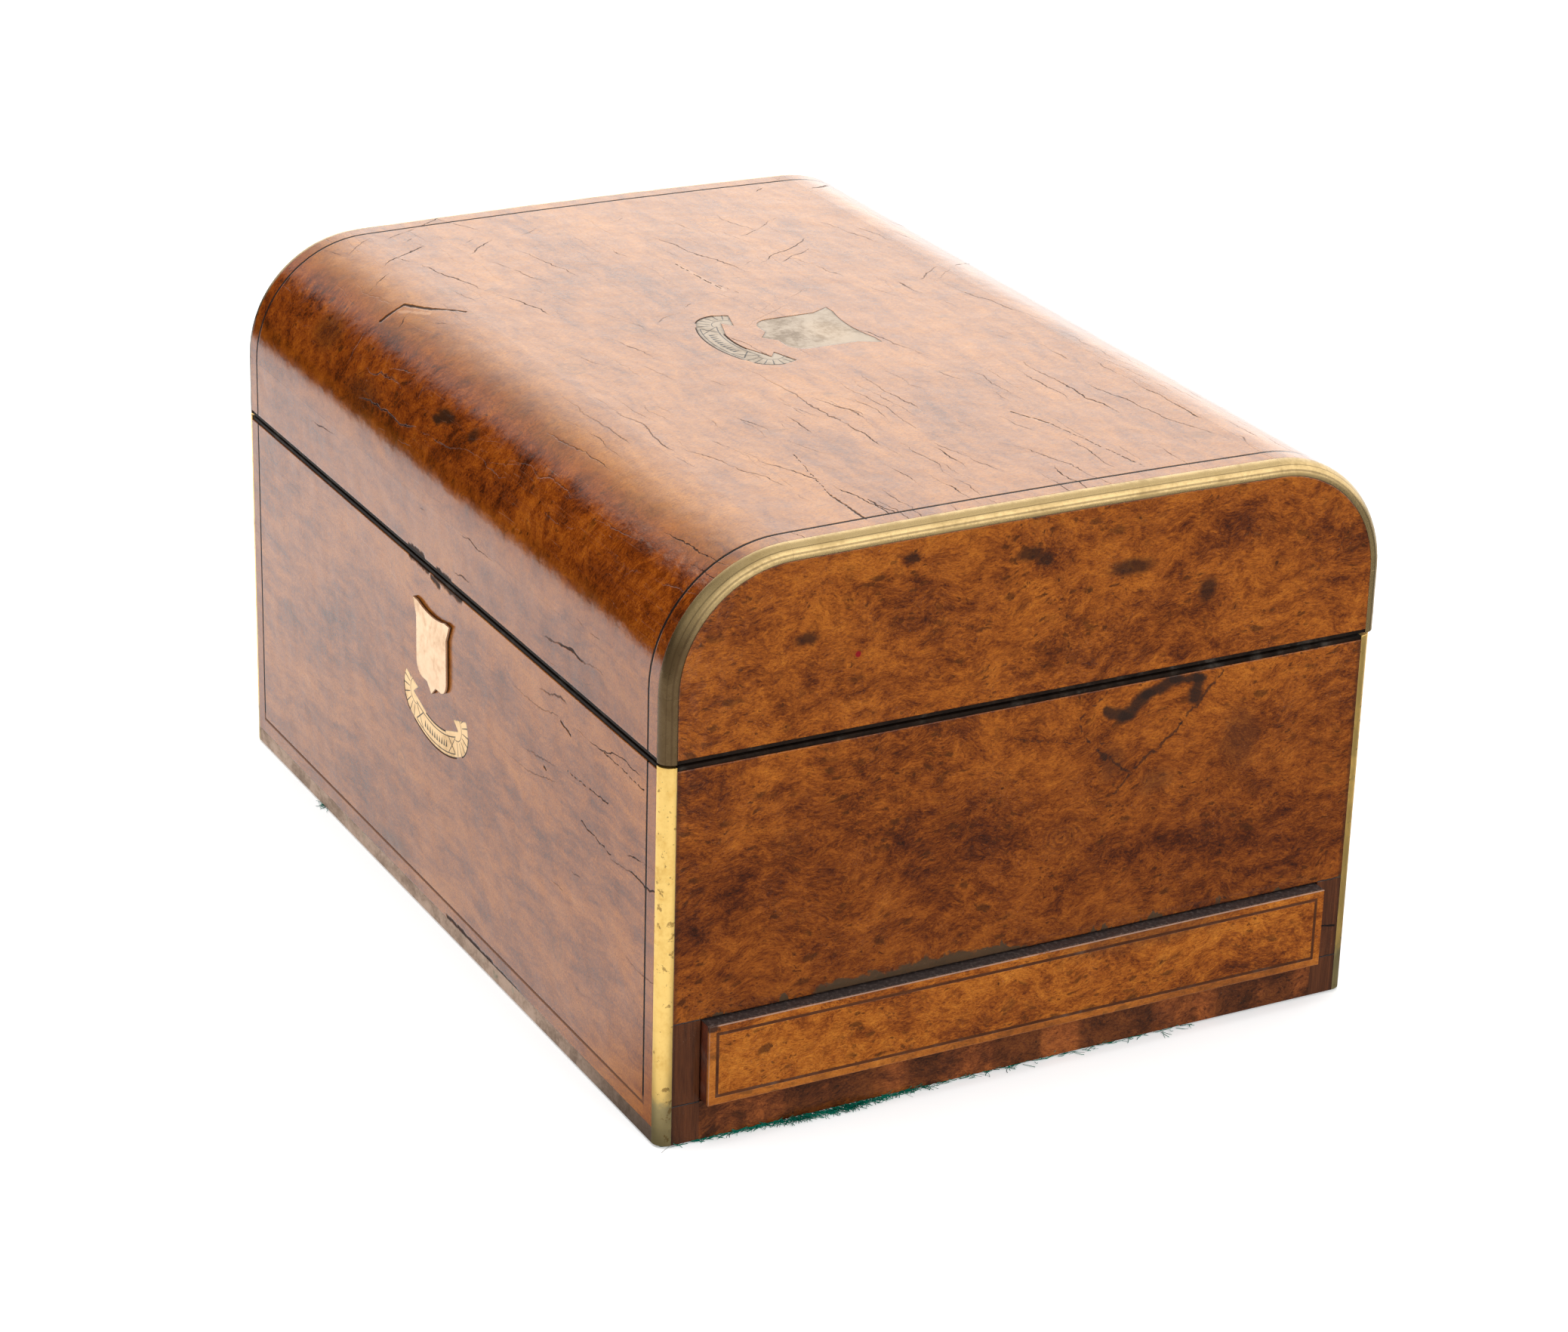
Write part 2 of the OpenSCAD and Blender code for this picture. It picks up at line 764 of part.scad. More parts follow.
// Hinges
module knuckle_row(first) {
    for (k = [first : 2 : knuckles - 1])
        translate([k * knuckle_l + (k == 0 ? 0 : knuckle_gap / 2), 0, 0]) rotate([0, 90, 0])
            cylinder(h = knuckle_l - (k == 0 || k == knuckles - 1 ? knuckle_gap / 2 : knuckle_gap),
                r = knuckle_r);
}

module knuckle_gaps(first) {
    for (k = [first : 2 : knuckles - 1])
        translate([k * knuckle_l - knuckle_gap / 2, 0, 0]) rotate([0, 90, 0])
            cylinder(h = knuckle_l + knuckle_gap, r = knuckle_r + knuckle_gap);
}

module hinge_leaf(z0, z1, mine, theirs, turn) {
    both_ends() difference() {
        union() {
            block([hinge_x - hinge_l / 2, leaf_in, z0], [hinge_x + hinge_l / 2, pin_y, z1]);
            translate([hinge_x - hinge_l / 2, pin_y, pin_z]) knuckle_row(mine);
        }
        translate([hinge_x - hinge_l / 2, pin_y, pin_z]) {
            knuckle_gaps(theirs);
            translate([-eps, 0, 0]) rotate([0, 90, 0])
                cylinder(h = hinge_l + 2 * eps, r = hinge_pin_r + screw_play, $fn = 24);
        }
        for (k = [-1, 0, 1])
            translate([hinge_x + k * (hinge_l / 2 - screw_inset), leaf_in + leaf_w * 0.42, turn ? z0 : z1])
                mirror([0, 0, turn]) {
                    translate([0, 0, -rim_t - eps])
                        cylinder(h = rim_t + 2 * eps, r = screw_r + screw_play, $fn = 24);
                    translate([0, 0, -screw_head_t])
                        cylinder(h = screw_head_t + eps, r = screw_head_r + screw_play, $fn = 24);
                }
    }
}

module hinge_base_leaves() {
    color("#b8933f") hinge_leaf(board_top, base_top, 0, 1, 0);
}

module hinge_lid_leaves() {
    color("#b8933f") hinge_leaf(lid_bottom, lid_wood, 1, 0, 1);
}

module hinge_pins() {
    color("#9a8a60") both_ends() translate([hinge_x - hinge_l / 2, pin_y, pin_z])
        rotate([0, 90, 0]) cylinder(h = hinge_l, r = hinge_pin_r, $fn = 24);
}

module hinge_screws(z, turn) {
    slot_w = 0.5;
    screw_places() translate([0, 0, z]) mirror([0, 0, turn]) difference() {
        union() {
            translate([0, 0, -screw_head_t]) cylinder(h = screw_head_t, r = screw_head_r, $fn = 24);
            translate([0, 0, -screw_l + screw_play])
                cylinder(h = screw_l - screw_play - screw_head_t / 2, r = screw_r, $fn = 24);
        }
        block([-screw_head_r - eps, -slot_w / 2, -0.3], [screw_head_r + eps, slot_w / 2, eps]);
    }
}

module hinge_base_screws() {
    color("#a58445") hinge_screws(base_top, 0);
}

module hinge_lid_screws() {
    color("#a58445") hinge_screws(lid_bottom, 1);
}

// Fitted inside
module floor_velvet() {
    color("#3b1326") difference() {
        block([-in_w, -in_d, dust_top], [in_w, in_d, floor_z]);
        translate([pin_x, pin_yy, dust_top - eps])
            cylinder(h = velvet_t + 2 * eps, r = bush_r + 2.2, $fn = 24);
    }
}

module partitions() {
    color("#6d3c20") {
        both_ends() block([well_w, -in_d, floor_z], [well_w + part_t, in_d, part_top]);
        both_faces() block([glue_gap - well_w, well_d, floor_z],
            [well_w - glue_gap, well_d + part_t, part_top]);
        both_ends() both_faces() block([well_w + part_t + glue_gap, cell_d / 2, floor_z],
            [in_w, cell_d / 2 + part_t, part_top]);
        both_ends() block([well_w - ledge_w, glue_gap - well_d, tray_z - ledge_h],
            [well_w - glue_gap, well_d - glue_gap, tray_z]);
    }
}

// The tray has one long compartment in front and three behind
module tray_cells(inset, z0, z1) {
    x1 = tray_w - tray_wall - inset;
    y1 = tray_d - tray_wall - inset;
    third = (2 * tray_w - 2 * tray_wall - 2 * tray_web) / 3;
    block([-x1, -y1, z0], [x1, tray_split - tray_web / 2 - inset, z1]);
    for (k = [-1, 0, 1]) translate([k * (third + tray_web), 0, 0])
        block([-third / 2 + inset, tray_split + tray_web / 2 + inset, z0],
            [third / 2 - inset, y1, z1]);
}

module tray() {
    x1 = tray_w - tray_wall;
    y1 = tray_d - tray_wall;
    z1 = tray_z + tray_floor;
    third = (2 * x1 - 2 * tray_web) / 3;
    color("#6d3c20") {
        block([glue_gap - x1, glue_gap - y1, tray_z], [x1 - glue_gap, y1 - glue_gap, z1]);
        both_faces() block([-tray_w, y1, tray_z], [tray_w, tray_d, part_top]);
        both_ends() block([x1, glue_gap - y1, tray_z], [tray_w, y1 - glue_gap, part_top]);
        block([glue_gap - x1, tray_split - tray_web / 2, z1 + glue_gap],
            [x1 - glue_gap, tray_split + tray_web / 2, part_top]);
        both_ends() block([third / 2, tray_split + tray_web / 2 + glue_gap, z1 + glue_gap],
            [third / 2 + tray_web, y1 - glue_gap, part_top]);
    }
}

module tray_velvet() {
    top = part_top - 2;
    color("#4a1730") difference() {
        tray_cells(0, tray_z + tray_floor, top);
        tray_cells(velvet_t, tray_z + tray_floor + velvet_t, top + eps);
    }
}

module jar_places() {
    for (sx = [-1, 1], sy = [-1, 1]) translate([sx * cell_x, sy * jar_y, 0]) children();
}

module glass_box(w, d, r) {
    difference() {
        union() {
            translate([0, 0, floor_z]) linear_extrude(jar_h) round_rect(w, d, r);
            translate([0, 0, jar_top]) linear_extrude(rim_h)
                round_rect(w - 2 * silver_t - 2 * silver_gap, d - 2 * silver_t - 2 * silver_gap,
                    r - silver_t - silver_gap);
        }
        translate([0, 0, floor_z + glass_t]) linear_extrude(jar_h + rim_h)
            round_rect(w - 2 * glass_t, d - 2 * glass_t, max(r - glass_t, 1));
    }
}

module silver_cover(w, d, r) {
    step = 2;
    step_h = 1;
    translate([0, 0, jar_top]) difference() {
        union() {
            linear_extrude(silver_h - step_h) round_rect(w, d, r);
            translate([0, 0, silver_h - step_h]) linear_extrude(step_h)
                round_rect(w - 2 * step, d - 2 * step, r - step);
        }
        translate([0, 0, -eps]) linear_extrude(rim_h + eps)
            round_rect(w - 2 * silver_t, d - 2 * silver_t, r - silver_t);
    }
}

module square_jars() {
    color("#dfe9ea") jar_places() glass_box(jar_w, jar_w, jar_round);
}

module square_jar_covers() {
    color("#c9c9c6") jar_places() silver_cover(jar_w, jar_w, jar_round);
}

module long_boxes() {
    color("#dfe9ea") both_faces() translate([0, row_y, 0])
        glass_box(long_w, long_d, jar_round);
}

module long_box_covers() {
    color("#c9c9c6") both_faces() translate([0, row_y, 0])
        silver_cover(long_w, long_d, jar_round);
}

module bottle_places() {
    for (s = [-1, 1]) translate([s * cell_x, 0, 0]) children();
}

module scent_bottles() {
    color("#dfe9ea") bottle_places() rotate_extrude($fn = 64) difference() {
        union() {
            translate([0, floor_z]) square([bottle_r, bottle_h]);
            translate([0, bottle_top]) square([neck_r, neck_top - bottle_top]);
            intersection() {
                translate([neck_r, bottle_top]) circle(shoulder_r);
                translate([0, bottle_top]) square([bottle_r, shoulder_r]);
            }
        }
        translate([0, floor_z + glass_t]) square([bottle_r - glass_t, bottle_h - glass_t]);
        translate([0, floor_z + glass_t]) square([neck_r - glass_t, neck_top]);
    }
}

module scent_bottle_caps() {
    cap_z = bottle_top + shoulder_r;
    dome_r = 22;
    dome_top = neck_top + cap_dome;
    color("#c9c9c6") bottle_places() rotate_extrude($fn = 64) difference() {
        intersection() {
            translate([0, cap_z]) square([cap_r, dome_top - cap_z]);
            translate([0, dome_top - dome_r]) circle(dome_r, $fn = 96);
        }
        translate([0, cap_z - eps]) square([neck_r + silver_gap, neck_top - cap_z + eps]);
    }
}

// Drawer release and spring
module release_pin() {
    knob_r = 3.2;
    color("#c8a659") translate([pin_x, pin_yy, 0]) rotate_extrude($fn = 32) difference() {
        union() {
            translate([0, pin_tip]) square([pin_r, pin_top - pin_tip + eps]);
            translate([0, pin_top]) square([knob_r, knob_h]);
        }
        translate([knob_r + 0.8, pin_top + knob_h * 0.45]) circle(1.7, $fn = 24);
    }
}

module pin_guides() {
    color("#a58445") translate([pin_x, pin_yy, 0]) difference() {
        union() {
            translate([0, 0, dust_z]) cylinder(h = dust_t, r = bush_r, $fn = 24);
            translate([0, 0, dust_top]) cylinder(h = bush_flange, r = bush_r + 2, $fn = 24);
            block([-4, -in_d - pin_yy, bracket_z], [4, bush_r + 1, bracket_z + bracket_h]);
        }
        translate([0, 0, dust_z - eps]) cylinder(h = part_top, r = pin_r + pin_play, $fn = 24);
    }
}

module kick_spring() {
    bow = spring_room + drawer_ajar - runner_gap - spring_t;
    bow_r = (spring_l * spring_l / 4 + bow * bow) / (2 * bow);
    bow_a = asin(spring_l / 2 / bow_r);
    spring_z = (bottom_z + side_top) / 2 - spring_h / 2;
    seat = 12;
    color("#9a9a92") {
        translate([-in_w + bow - bow_r, 0, spring_z]) rotate([0, 0, -bow_a])
            rotate_extrude(angle = 2 * bow_a, $fn = 360)
                translate([bow_r, 0]) square([spring_t, spring_h]);
        block([-in_w, -spring_l / 2 - seat, spring_z],
            [-in_w + spring_t, -spring_l / 2 - spring_t, spring_z + spring_h]);
    }
}

// Lid
module lid_section(x) {
    translate([skin_u, -x]) square([wall_t - skin_u, 2 * x]);
}

module lid_rails() {
    color("#7a4a2a") difference() {
        union() {
            arch_side(0, lid_wood, 0) lid_section(in_w);
            arch_side(1, lid_wood, 0) lid_section(in_w);
        }
        knuckle_notch();
        screw_holes(lid_bottom, 1, screw_r + screw_play);
    }
}

module lid_staves() {
    color("#7a4a2a") {
        arch_corner(0) lid_section(in_w);
        arch_corner(1) lid_section(in_w);
    }
}

module lid_top_board() {
    color("#7a4a2a") arch_crown(0) lid_section(in_w);
}

module lid_end_boards() {
    color("#7a4a2a") both_ends() {
        arch_slice(skin_u, in_w, edge_in_w);
        arch_slice(edge_w + glue_t, edge_in_w, core_w);
    }
}

module lid_veneer() {
    band_x = edge_in_w - band_w;
    color("#a05c2c") difference() {
        arch_sweep() translate([0, -field_w]) square([veneer_t, 2 * field_w]);
        lid_plates(lid_top - veneer_t - eps, lid_top + eps);
        knuckle_notch();
    }
    color("#8f5128") both_ends() arch_sweep() translate([0, band_x]) square([veneer_t, band_w]);
}

module lid_stringing() {
    color("#1d130d") both_ends() arch_sweep()
        translate([0, field_w]) square([veneer_t, string_w]);
}

module lid_end_veneers() {
    color("#a8622c") both_ends() arch_slice(edge_w + glue_t, core_w, half_w);
}

module lid_edge_brass() {
    color("#b8933f") both_ends() arch_sweep(lid_bottom)
        translate([0, half_w]) mirror([0, 1]) edge_section();
}

module both_faces_of_lid() {
    translate([0, lid_mid, 0]) both_faces() children();
}

module lid_corner_notch() {
    both_ends() both_faces_of_lid() block([edge_in_w, -lid_half - eps, lid_bottom - eps],
        [half_w + eps, -lid_half + edge_w, lid_wood + eps]);
}

module lid_rim() {
    color("#17110d") difference() {
        rim_frame(lid_bottom, lid_wood, lid_mid - lid_half, lid_mid + lid_half);
        lid_corner_notch();
        knuckle_notch();
        leaf_notch(lid_bottom - eps, lid_wood + eps);
        selvedge(lid_bottom - eps, lid_wood + eps);
    }
}

module lid_plates(low, high) {
    translate([0, lid_mid - plate_drop, low]) linear_extrude(high - low)
        shield(plate_w, plate_h);
    translate([0, lid_mid - plate_drop - ribbon_drop, low]) linear_extrude(high - low)
        ribbon();
}

module lid_cartouche() {
    color("#c8a659") lid_plates(lid_top - veneer_t, lid_top - glue_t);
}

// Mirror in the lid
module mirror_frame() {
    color("#5a2f1a") difference() {
        translate([0, lid_mid, 0])
            block([-in_w, -lid_in_half, frame_z], [in_w, lid_in_half, frame_z + frame_t]);
        translate([0, lid_mid, 0]) {
            block([-in_w + frame_w, -lid_in_half + frame_w, frame_z - eps],
                [in_w - frame_w, lid_in_half - frame_w, frame_z + frame_t + eps]);
            mirror_plate(eps);
        }
    }
}

module mirror_plate(over) {
    out = frame_w - mirror_lap;
    block([-in_w + out, -lid_in_half + out, mirror_z],
        [in_w - out, lid_in_half - out, mirror_z + mirror_t + over]);
}

module mirror_glass() {
    color("#cfd8dc") translate([0, lid_mid, 0]) mirror_plate(0);
}

module mirror_back() {
    color("#4a1730") translate([0, lid_mid, 0])
        block([-in_w, -lid_in_half, frame_z + frame_t], [in_w, lid_in_half, frame_z + frame_t + back_t]);
}

// Drawer, moved out by as much as the spring holds it open
module ajar() {
    translate([drawer_ajar, 0, 0]) children();
}

module drawer_groove_cut() {
    block([back_x + drawer_side_t - drawer_groove, -drawer_in_d - drawer_groove, bottom_z],
        [front_x + drawer_groove, drawer_in_d + drawer_groove, bottom_z + drawer_bottom_t]);
}

module drawer_front() {
    color("#6d2f1c") ajar() difference() {
        block([front_x, -drawer_d, drawer_z], [core_w, drawer_d, drawer_top]);
        drawer_groove_cut();
    }
}

module drawer_sheet(inset) {
    block([core_w, -drawer_d + inset, drawer_z + inset],
        [half_w, drawer_d - inset, drawer_top - inset]);
}

module drawer_hollow_sheet(inset) {
    block([core_w - eps, -drawer_d + inset, drawer_z + inset],
        [half_w + eps, drawer_d - inset, drawer_top - inset]);
}

module drawer_veneer() {
    color("#b06a2e") ajar() {
        drawer_sheet(drawer_border + string_w);
        difference() {
            drawer_sheet(0);
            drawer_hollow_sheet(drawer_border);
        }
    }
}

module drawer_stringing() {
    color("#1d130d") ajar() difference() {
        drawer_sheet(drawer_border);
        drawer_hollow_sheet(drawer_border + string_w);
    }
}

module drawer_sides() {
    color("#8a5a34") ajar() difference() {
        both_faces() block([back_x, drawer_in_d, drawer_z], [front_x, drawer_d, side_top]);
        drawer_groove_cut();
        translate([pin_x, pin_yy, side_top - pin_reach])
            cylinder(h = pin_reach + eps, r = pin_r + 0.4, $fn = 24);
    }
}

module drawer_back() {
    color("#8a5a34") ajar() difference() {
        block([back_x, -drawer_in_d, drawer_z], [back_x + drawer_side_t, drawer_in_d, side_top]);
        drawer_groove_cut();
    }
}

module drawer_bottom() {
    color("#8a5a34") ajar() drawer_groove_cut();
}

module drawer_velvet() {
    top = side_top - 2;
    x0 = back_x + drawer_side_t;
    color("#4a1730") ajar() difference() {
        block([x0, -drawer_in_d, drawer_floor - velvet_t], [front_x, drawer_in_d, top]);
        block([x0 + velvet_t, -drawer_in_d + velvet_t, drawer_floor],
            [front_x - velvet_t - roll_block - velvet_t, drawer_in_d - velvet_t, top + eps]);
        block([front_x - velvet_t - roll_block, -drawer_in_d + velvet_t, drawer_floor],
            [front_x - velvet_t, drawer_in_d - velvet_t, top + eps]);
    }
}

module ring_rolls() {
    roll_d = drawer_in_d - velvet_t;
    color("#4a1730") ajar() for (k = [0 : roll_n - 1])
        translate([front_x - velvet_t - roll_r - k * roll_pitch, roll_d, drawer_floor + 1])
            rotate([90, 0, 0]) linear_extrude(2 * roll_d) intersection() {
                circle(roll_r - 0.05);
                translate([-roll_r, -1]) square([2 * roll_r, 2 * roll_r]);
            }
}

front_board();
back_board();
left_board();
right_board();
bottom_board();
dust_board();
drawer_runners();
front_veneer();
front_stringing();
back_veneer();
left_veneer();
right_veneer();
corner_brass();
foot_brass();
base_rim();
baize();
lock_case();
lock_bolt();
keyhole_cover();
front_ribbon();
hinge_base_leaves();
hinge_pins();
hinge_base_screws();
floor_velvet();
partitions();
tray();
tray_velvet();
square_jars();
square_jar_covers();
scent_bottles();
scent_bottle_caps();
long_boxes();
long_box_covers();
release_pin();
pin_guides();
kick_spring();
lid_rails();
lid_staves();
lid_top_board();
lid_end_boards();
lid_veneer();
lid_stringing();
lid_end_veneers();
lid_edge_brass();
lid_rim();
lid_cartouche();
hinge_lid_leaves();
hinge_lid_screws();
lock_strike();
mirror_frame();
mirror_glass();
mirror_back();
drawer_front();
drawer_veneer();
drawer_stringing();
drawer_sides();
drawer_back();
drawer_bottom();
drawer_velvet();
ring_rolls();
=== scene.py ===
"""Looks of the travelling dressing case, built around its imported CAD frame. Metres, +Z up."""
import math
import random

import bpy
from mathutils import Matrix, Vector


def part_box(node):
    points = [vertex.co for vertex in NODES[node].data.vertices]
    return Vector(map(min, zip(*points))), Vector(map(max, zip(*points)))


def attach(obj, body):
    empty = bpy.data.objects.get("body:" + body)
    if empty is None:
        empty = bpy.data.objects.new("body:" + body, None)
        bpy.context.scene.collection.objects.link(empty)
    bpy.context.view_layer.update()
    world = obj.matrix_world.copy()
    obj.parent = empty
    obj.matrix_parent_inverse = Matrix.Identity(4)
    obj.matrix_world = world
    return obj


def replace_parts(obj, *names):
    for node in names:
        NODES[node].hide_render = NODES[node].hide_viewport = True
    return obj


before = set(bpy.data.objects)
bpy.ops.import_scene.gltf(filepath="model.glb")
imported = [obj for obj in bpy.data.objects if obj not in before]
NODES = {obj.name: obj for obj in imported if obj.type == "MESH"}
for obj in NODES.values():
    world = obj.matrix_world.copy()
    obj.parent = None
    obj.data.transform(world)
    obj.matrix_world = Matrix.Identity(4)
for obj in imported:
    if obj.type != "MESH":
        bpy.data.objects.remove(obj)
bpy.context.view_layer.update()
MM = 0.001


def box_mm(node):
    """Lowest and highest corner of a CAD node, in millimetres."""
    lo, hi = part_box(node)
    return Vector(lo) / MM, Vector(hi) / MM


LINE, DROP = box_mm("drawer_veneer")
OPEN_Z, OPEN_TOP, OPEN_D = LINE.z - 0.5, DROP.z + 0.5, DROP.y + 0.5
END_X = box_mm("right_veneer")[1].x
FRONT_Y, EDGE_X = box_mm("front_veneer")[0].y, box_mm("front_veneer")[1].x
FOOT_TOP = box_mm("foot_brass")[1].z
LID_LOW, LID_TOP = box_mm("lid_veneer")[0].z, box_mm("lid_veneer")[1].z


# Shader graphs ------------------------------------------------------------------------------

class Graph:
    """A material's or a world's nodes, and short calls that add to them. Places are in mm."""

    def __init__(self, name, owner=None, output="OutputMaterial", coord="Object", scale=1 / MM):
        self.owner = owner or bpy.data.materials.new(name)
        self.owner.use_nodes = True
        self.tree = self.owner.node_tree
        self.tree.nodes.clear()
        self.out = self.add(output)
        self.p = self.vmath("SCALE", self.add("TexCoord").outputs[coord], scale=scale)
        self.x, self.y, self.z = self.xyz(self.p)

    def put(self, socket, value):
        if isinstance(value, bpy.types.NodeSocket):
            self.tree.links.new(value, socket)
        elif isinstance(value, (tuple, list)) and len(value) == 3 and socket.type == "RGBA":
            socket.default_value = (*value, 1)
        else:
            socket.default_value = value

    def add(self, kind, **values):
        n = self.tree.nodes.new("ShaderNode" + kind)
        for k, v in values.items():
            self.put(n.inputs[k.replace("_", " ")], v)
        return n

    def math(self, op, a, b=0, c=0, clamp=False):
        n = self.add("Math")
        n.operation, n.use_clamp = op, clamp
        for i, v in enumerate((a, b, c)):
            self.put(n.inputs[i], v)
        return n.outputs[0]

    def fold(self, op, values, clamp=False):
        total = values[0]
        for v in values[1:]:
            total = self.math(op, total, v, clamp=clamp)
        return total

    def times(self, *values):
        return self.fold("MULTIPLY", values)

    def plus(self, *values, clamp=False):
        return self.fold("ADD", values, clamp)

    def most(self, *values, clamp=False):
        return self.fold("MAXIMUM", values, clamp)

    def weigh(self, *pairs):
        """The sum of values, each times its weight."""
        return self.plus(*[self.times(v, weight) for v, weight in pairs])

    def less(self, a, b, clamp=False):
        return self.math("SUBTRACT", a, b, clamp=clamp)

    def size(self, a):
        return self.math("ABSOLUTE", a)

    def scale(self, a, by, and_add, clamp=False):
        return self.math("MULTIPLY_ADD", a, by, and_add, clamp)

    def vmath(self, op, a, b=(0, 0, 0), scale=1):
        n = self.add("VectorMath")
        n.operation = op
        self.put(n.inputs[0], a)
        self.put(n.inputs[1], b)
        if op == "SCALE":
            self.put(n.inputs["Scale"], scale)
        return n.outputs["Value" if op in ("DOT_PRODUCT", "LENGTH") else "Vector"]

    def xyz(self, v):
        return self.add("SeparateXYZ", Vector=v).outputs[:]

    def turn(self, v, angles, scale=(1, 1, 1), shift=(0, 0, 0)):
        n = self.add("Mapping", Vector=v, Location=shift, Scale=scale,
                     Rotation=[math.radians(a) for a in angles])
        return n.outputs[0]

    def squash(self, v, scale):
        return self.turn(v, (0, 0, 0), scale)

    def noise(self, v, scale, detail=4, rough=0.55, distort=0, colour=False):
        n = self.add("TexNoise", Vector=v, Scale=scale, Detail=detail, Roughness=rough,
                     Distortion=distort)
        return n.outputs["Color" if colour else 0]

    def stir(self, v, scale, reach, detail=3):
        """v moved about by up to half of reach, as a slow noise says."""
        push = self.vmath("SUBTRACT", self.noise(v, scale, detail, 0.55, 0, True), (0.5, 0.5, 0.5))
        return self.vmath("ADD", v, self.vmath("SCALE", push, scale=reach))

    def cells(self, v, scale, out="Distance"):
        return self.add("TexVoronoi", Vector=v, Scale=scale).outputs[out]

    def step(self, v, lo, hi, to_lo=0, to_hi=1):
        """Smooth step of v from lo to hi."""
        n = self.add("MapRange", Value=v, From_Min=lo, From_Max=hi, To_Min=to_lo, To_Max=to_hi)
        n.interpolation_type = "SMOOTHSTEP"
        return n.outputs[0]

    def ramp(self, v, stops):
        n = self.add("ValToRGB")
        self.put(n.inputs[0], v)
        e = n.color_ramp.elements
        while len(e) < len(stops):
            e.new(0.5)
        for el, (pos, col) in zip(e, stops):
            el.position, el.color = pos, (*col, 1)
        return n.outputs[0]

    def mix(self, fac, a, b, kind="MIX"):
        n = self.add("Mix")
        n.data_type, n.blend_type = "RGBA", kind
        self.put(n.inputs["Factor"], fac)
        self.put(n.inputs[6], a)
        self.put(n.inputs[7], b)
        return n.outputs[2]

    def lay(self, colour, tint, *masks):
        """The colour with a tint over it, as strong as the masks say together."""
        return self.mix(self.times(*masks), colour, tint)

    def bump(self, height, strength, distance=0.0003, normal=None):
        n = self.add("Bump", Height=height, Strength=strength, Distance=distance)
        if normal is not None:
            self.put(n.inputs["Normal"], normal)
        return n.outputs[0]

    def bevel(self, radius):
        n = self.add("Bevel", Radius=radius)
        n.samples = 4
        return n.outputs[0]

    def join(self, kind, *inputs):
        """A node that mixes or adds shaders, fed in the order of its inputs."""
        n = self.add(kind)
        for i, v in enumerate(inputs):
            self.put(n.inputs[i], v)
        return n.outputs[0]

    def surface(self, **values):
        self.put(self.out.inputs["Surface"], self.add("BsdfPrincipled", **values).outputs[0])

    # Masks ------------------------------------------------------------------

    def radius(self, a, b):
        return self.math("SQRT", self.plus(self.times(a, a), self.times(b, b)))

    def wave(self, v, beat):
        """Rings between 0 and 1 as v grows."""
        return self.scale(self.math("SINE", self.times(v, beat)), 0.5, 0.5)

    def near(self, value, place, width, soft=0.5):
        """1 where value lies within width of place."""
        return self.step(self.size(self.less(value, place)), width, width * (1 - soft))

    def reach(self, centre, radii, ragged=0, freq=0.12):
        """How far out a point lies from a centre: 1 on the ellipse with these radii."""
        d = self.vmath("SUBTRACT", self.p, centre)
        if ragged:
            n = self.vmath("SUBTRACT", self.noise(self.p, freq, 5, 0.6, 0, True), (0.5, 0.5, 0.5))
            d = self.vmath("ADD", d, self.vmath("SCALE", n, scale=ragged))
        return self.vmath("LENGTH", self.vmath("DIVIDE", d, radii))

    def spot(self, centre, radii, edge=0.25, ragged=0, freq=0.12):
        """1 inside a ragged ellipse about a point."""
        return self.step(self.reach(centre, radii, ragged, freq), 1 + edge, 1 - edge)

    def scar(self, a, b, width, ragged=1, freq=0.5):
        """1 along a ragged line from a to b."""
        a, b = Vector(a), Vector(b)
        along = tuple(b - a)
        rel = self.vmath("SUBTRACT", self.stir(self.p, freq, ragged * 2, 4), tuple(a))
        t = self.math("DIVIDE", self.vmath("DOT_PRODUCT", rel, along), (b - a).length_squared, clamp=True)
        off = self.vmath("LENGTH", self.vmath("SUBTRACT", rel, self.vmath("SCALE", along, scale=t)))
        return self.step(off, width, width * 0.35)


# Wood ---------------------------------------------------------------------------------------

# Tones from the darkest figure to the lightest, and where each lies on the scale of tones
STOPS = (0.26, 0.38, 0.47, 0.55, 0.65, 0.78)
AMBER = ((0.024, 0.0044, 0.0005), (0.088, 0.0172, 0.0015), (0.2, 0.047, 0.0036),
         (0.31, 0.082, 0.0066), (0.42, 0.125, 0.011), (0.52, 0.175, 0.02))
GOLD = ((0.032, 0.0062, 0.0008), (0.13, 0.028, 0.0024), (0.275, 0.069, 0.0055),
        (0.41, 0.12, 0.0105), (0.52, 0.175, 0.018), (0.6, 0.23, 0.032))
FADED = ((0.09, 0.024, 0.003), (0.195, 0.057, 0.006), (0.29, 0.095, 0.009),
         (0.36, 0.126, 0.012), (0.44, 0.165, 0.018), (0.52, 0.21, 0.03))
DEEP = ((0.015, 0.0026, 0.0003), (0.065, 0.011, 0.0008), (0.155, 0.029, 0.0018),
        (0.25, 0.054, 0.0036), (0.35, 0.09, 0.0062), (0.44, 0.135, 0.012))
BROWN = ((0.028, 0.007, 0.0022), (0.065, 0.017, 0.0045), (0.125, 0.033, 0.0075),
         (0.195, 0.053, 0.011), (0.27, 0.078, 0.015), (0.34, 0.105, 0.021))
FRONT = ((0.06, 0.013, 0.002), (0.165, 0.039, 0.0045), (0.29, 0.079, 0.0085),
         (0.405, 0.124, 0.014), (0.5, 0.168, 0.02), (0.58, 0.21, 0.029))
# The quieter figure of the front and of the lid's top
CALM = {"gain": 1.45, "flecks": 0.22, "strokes": 0.55, "stretch": (0.26, 1, 1), "swirl": 0.35}
SLANTED = {**CALM, "tilt": (90, -48, 0)}


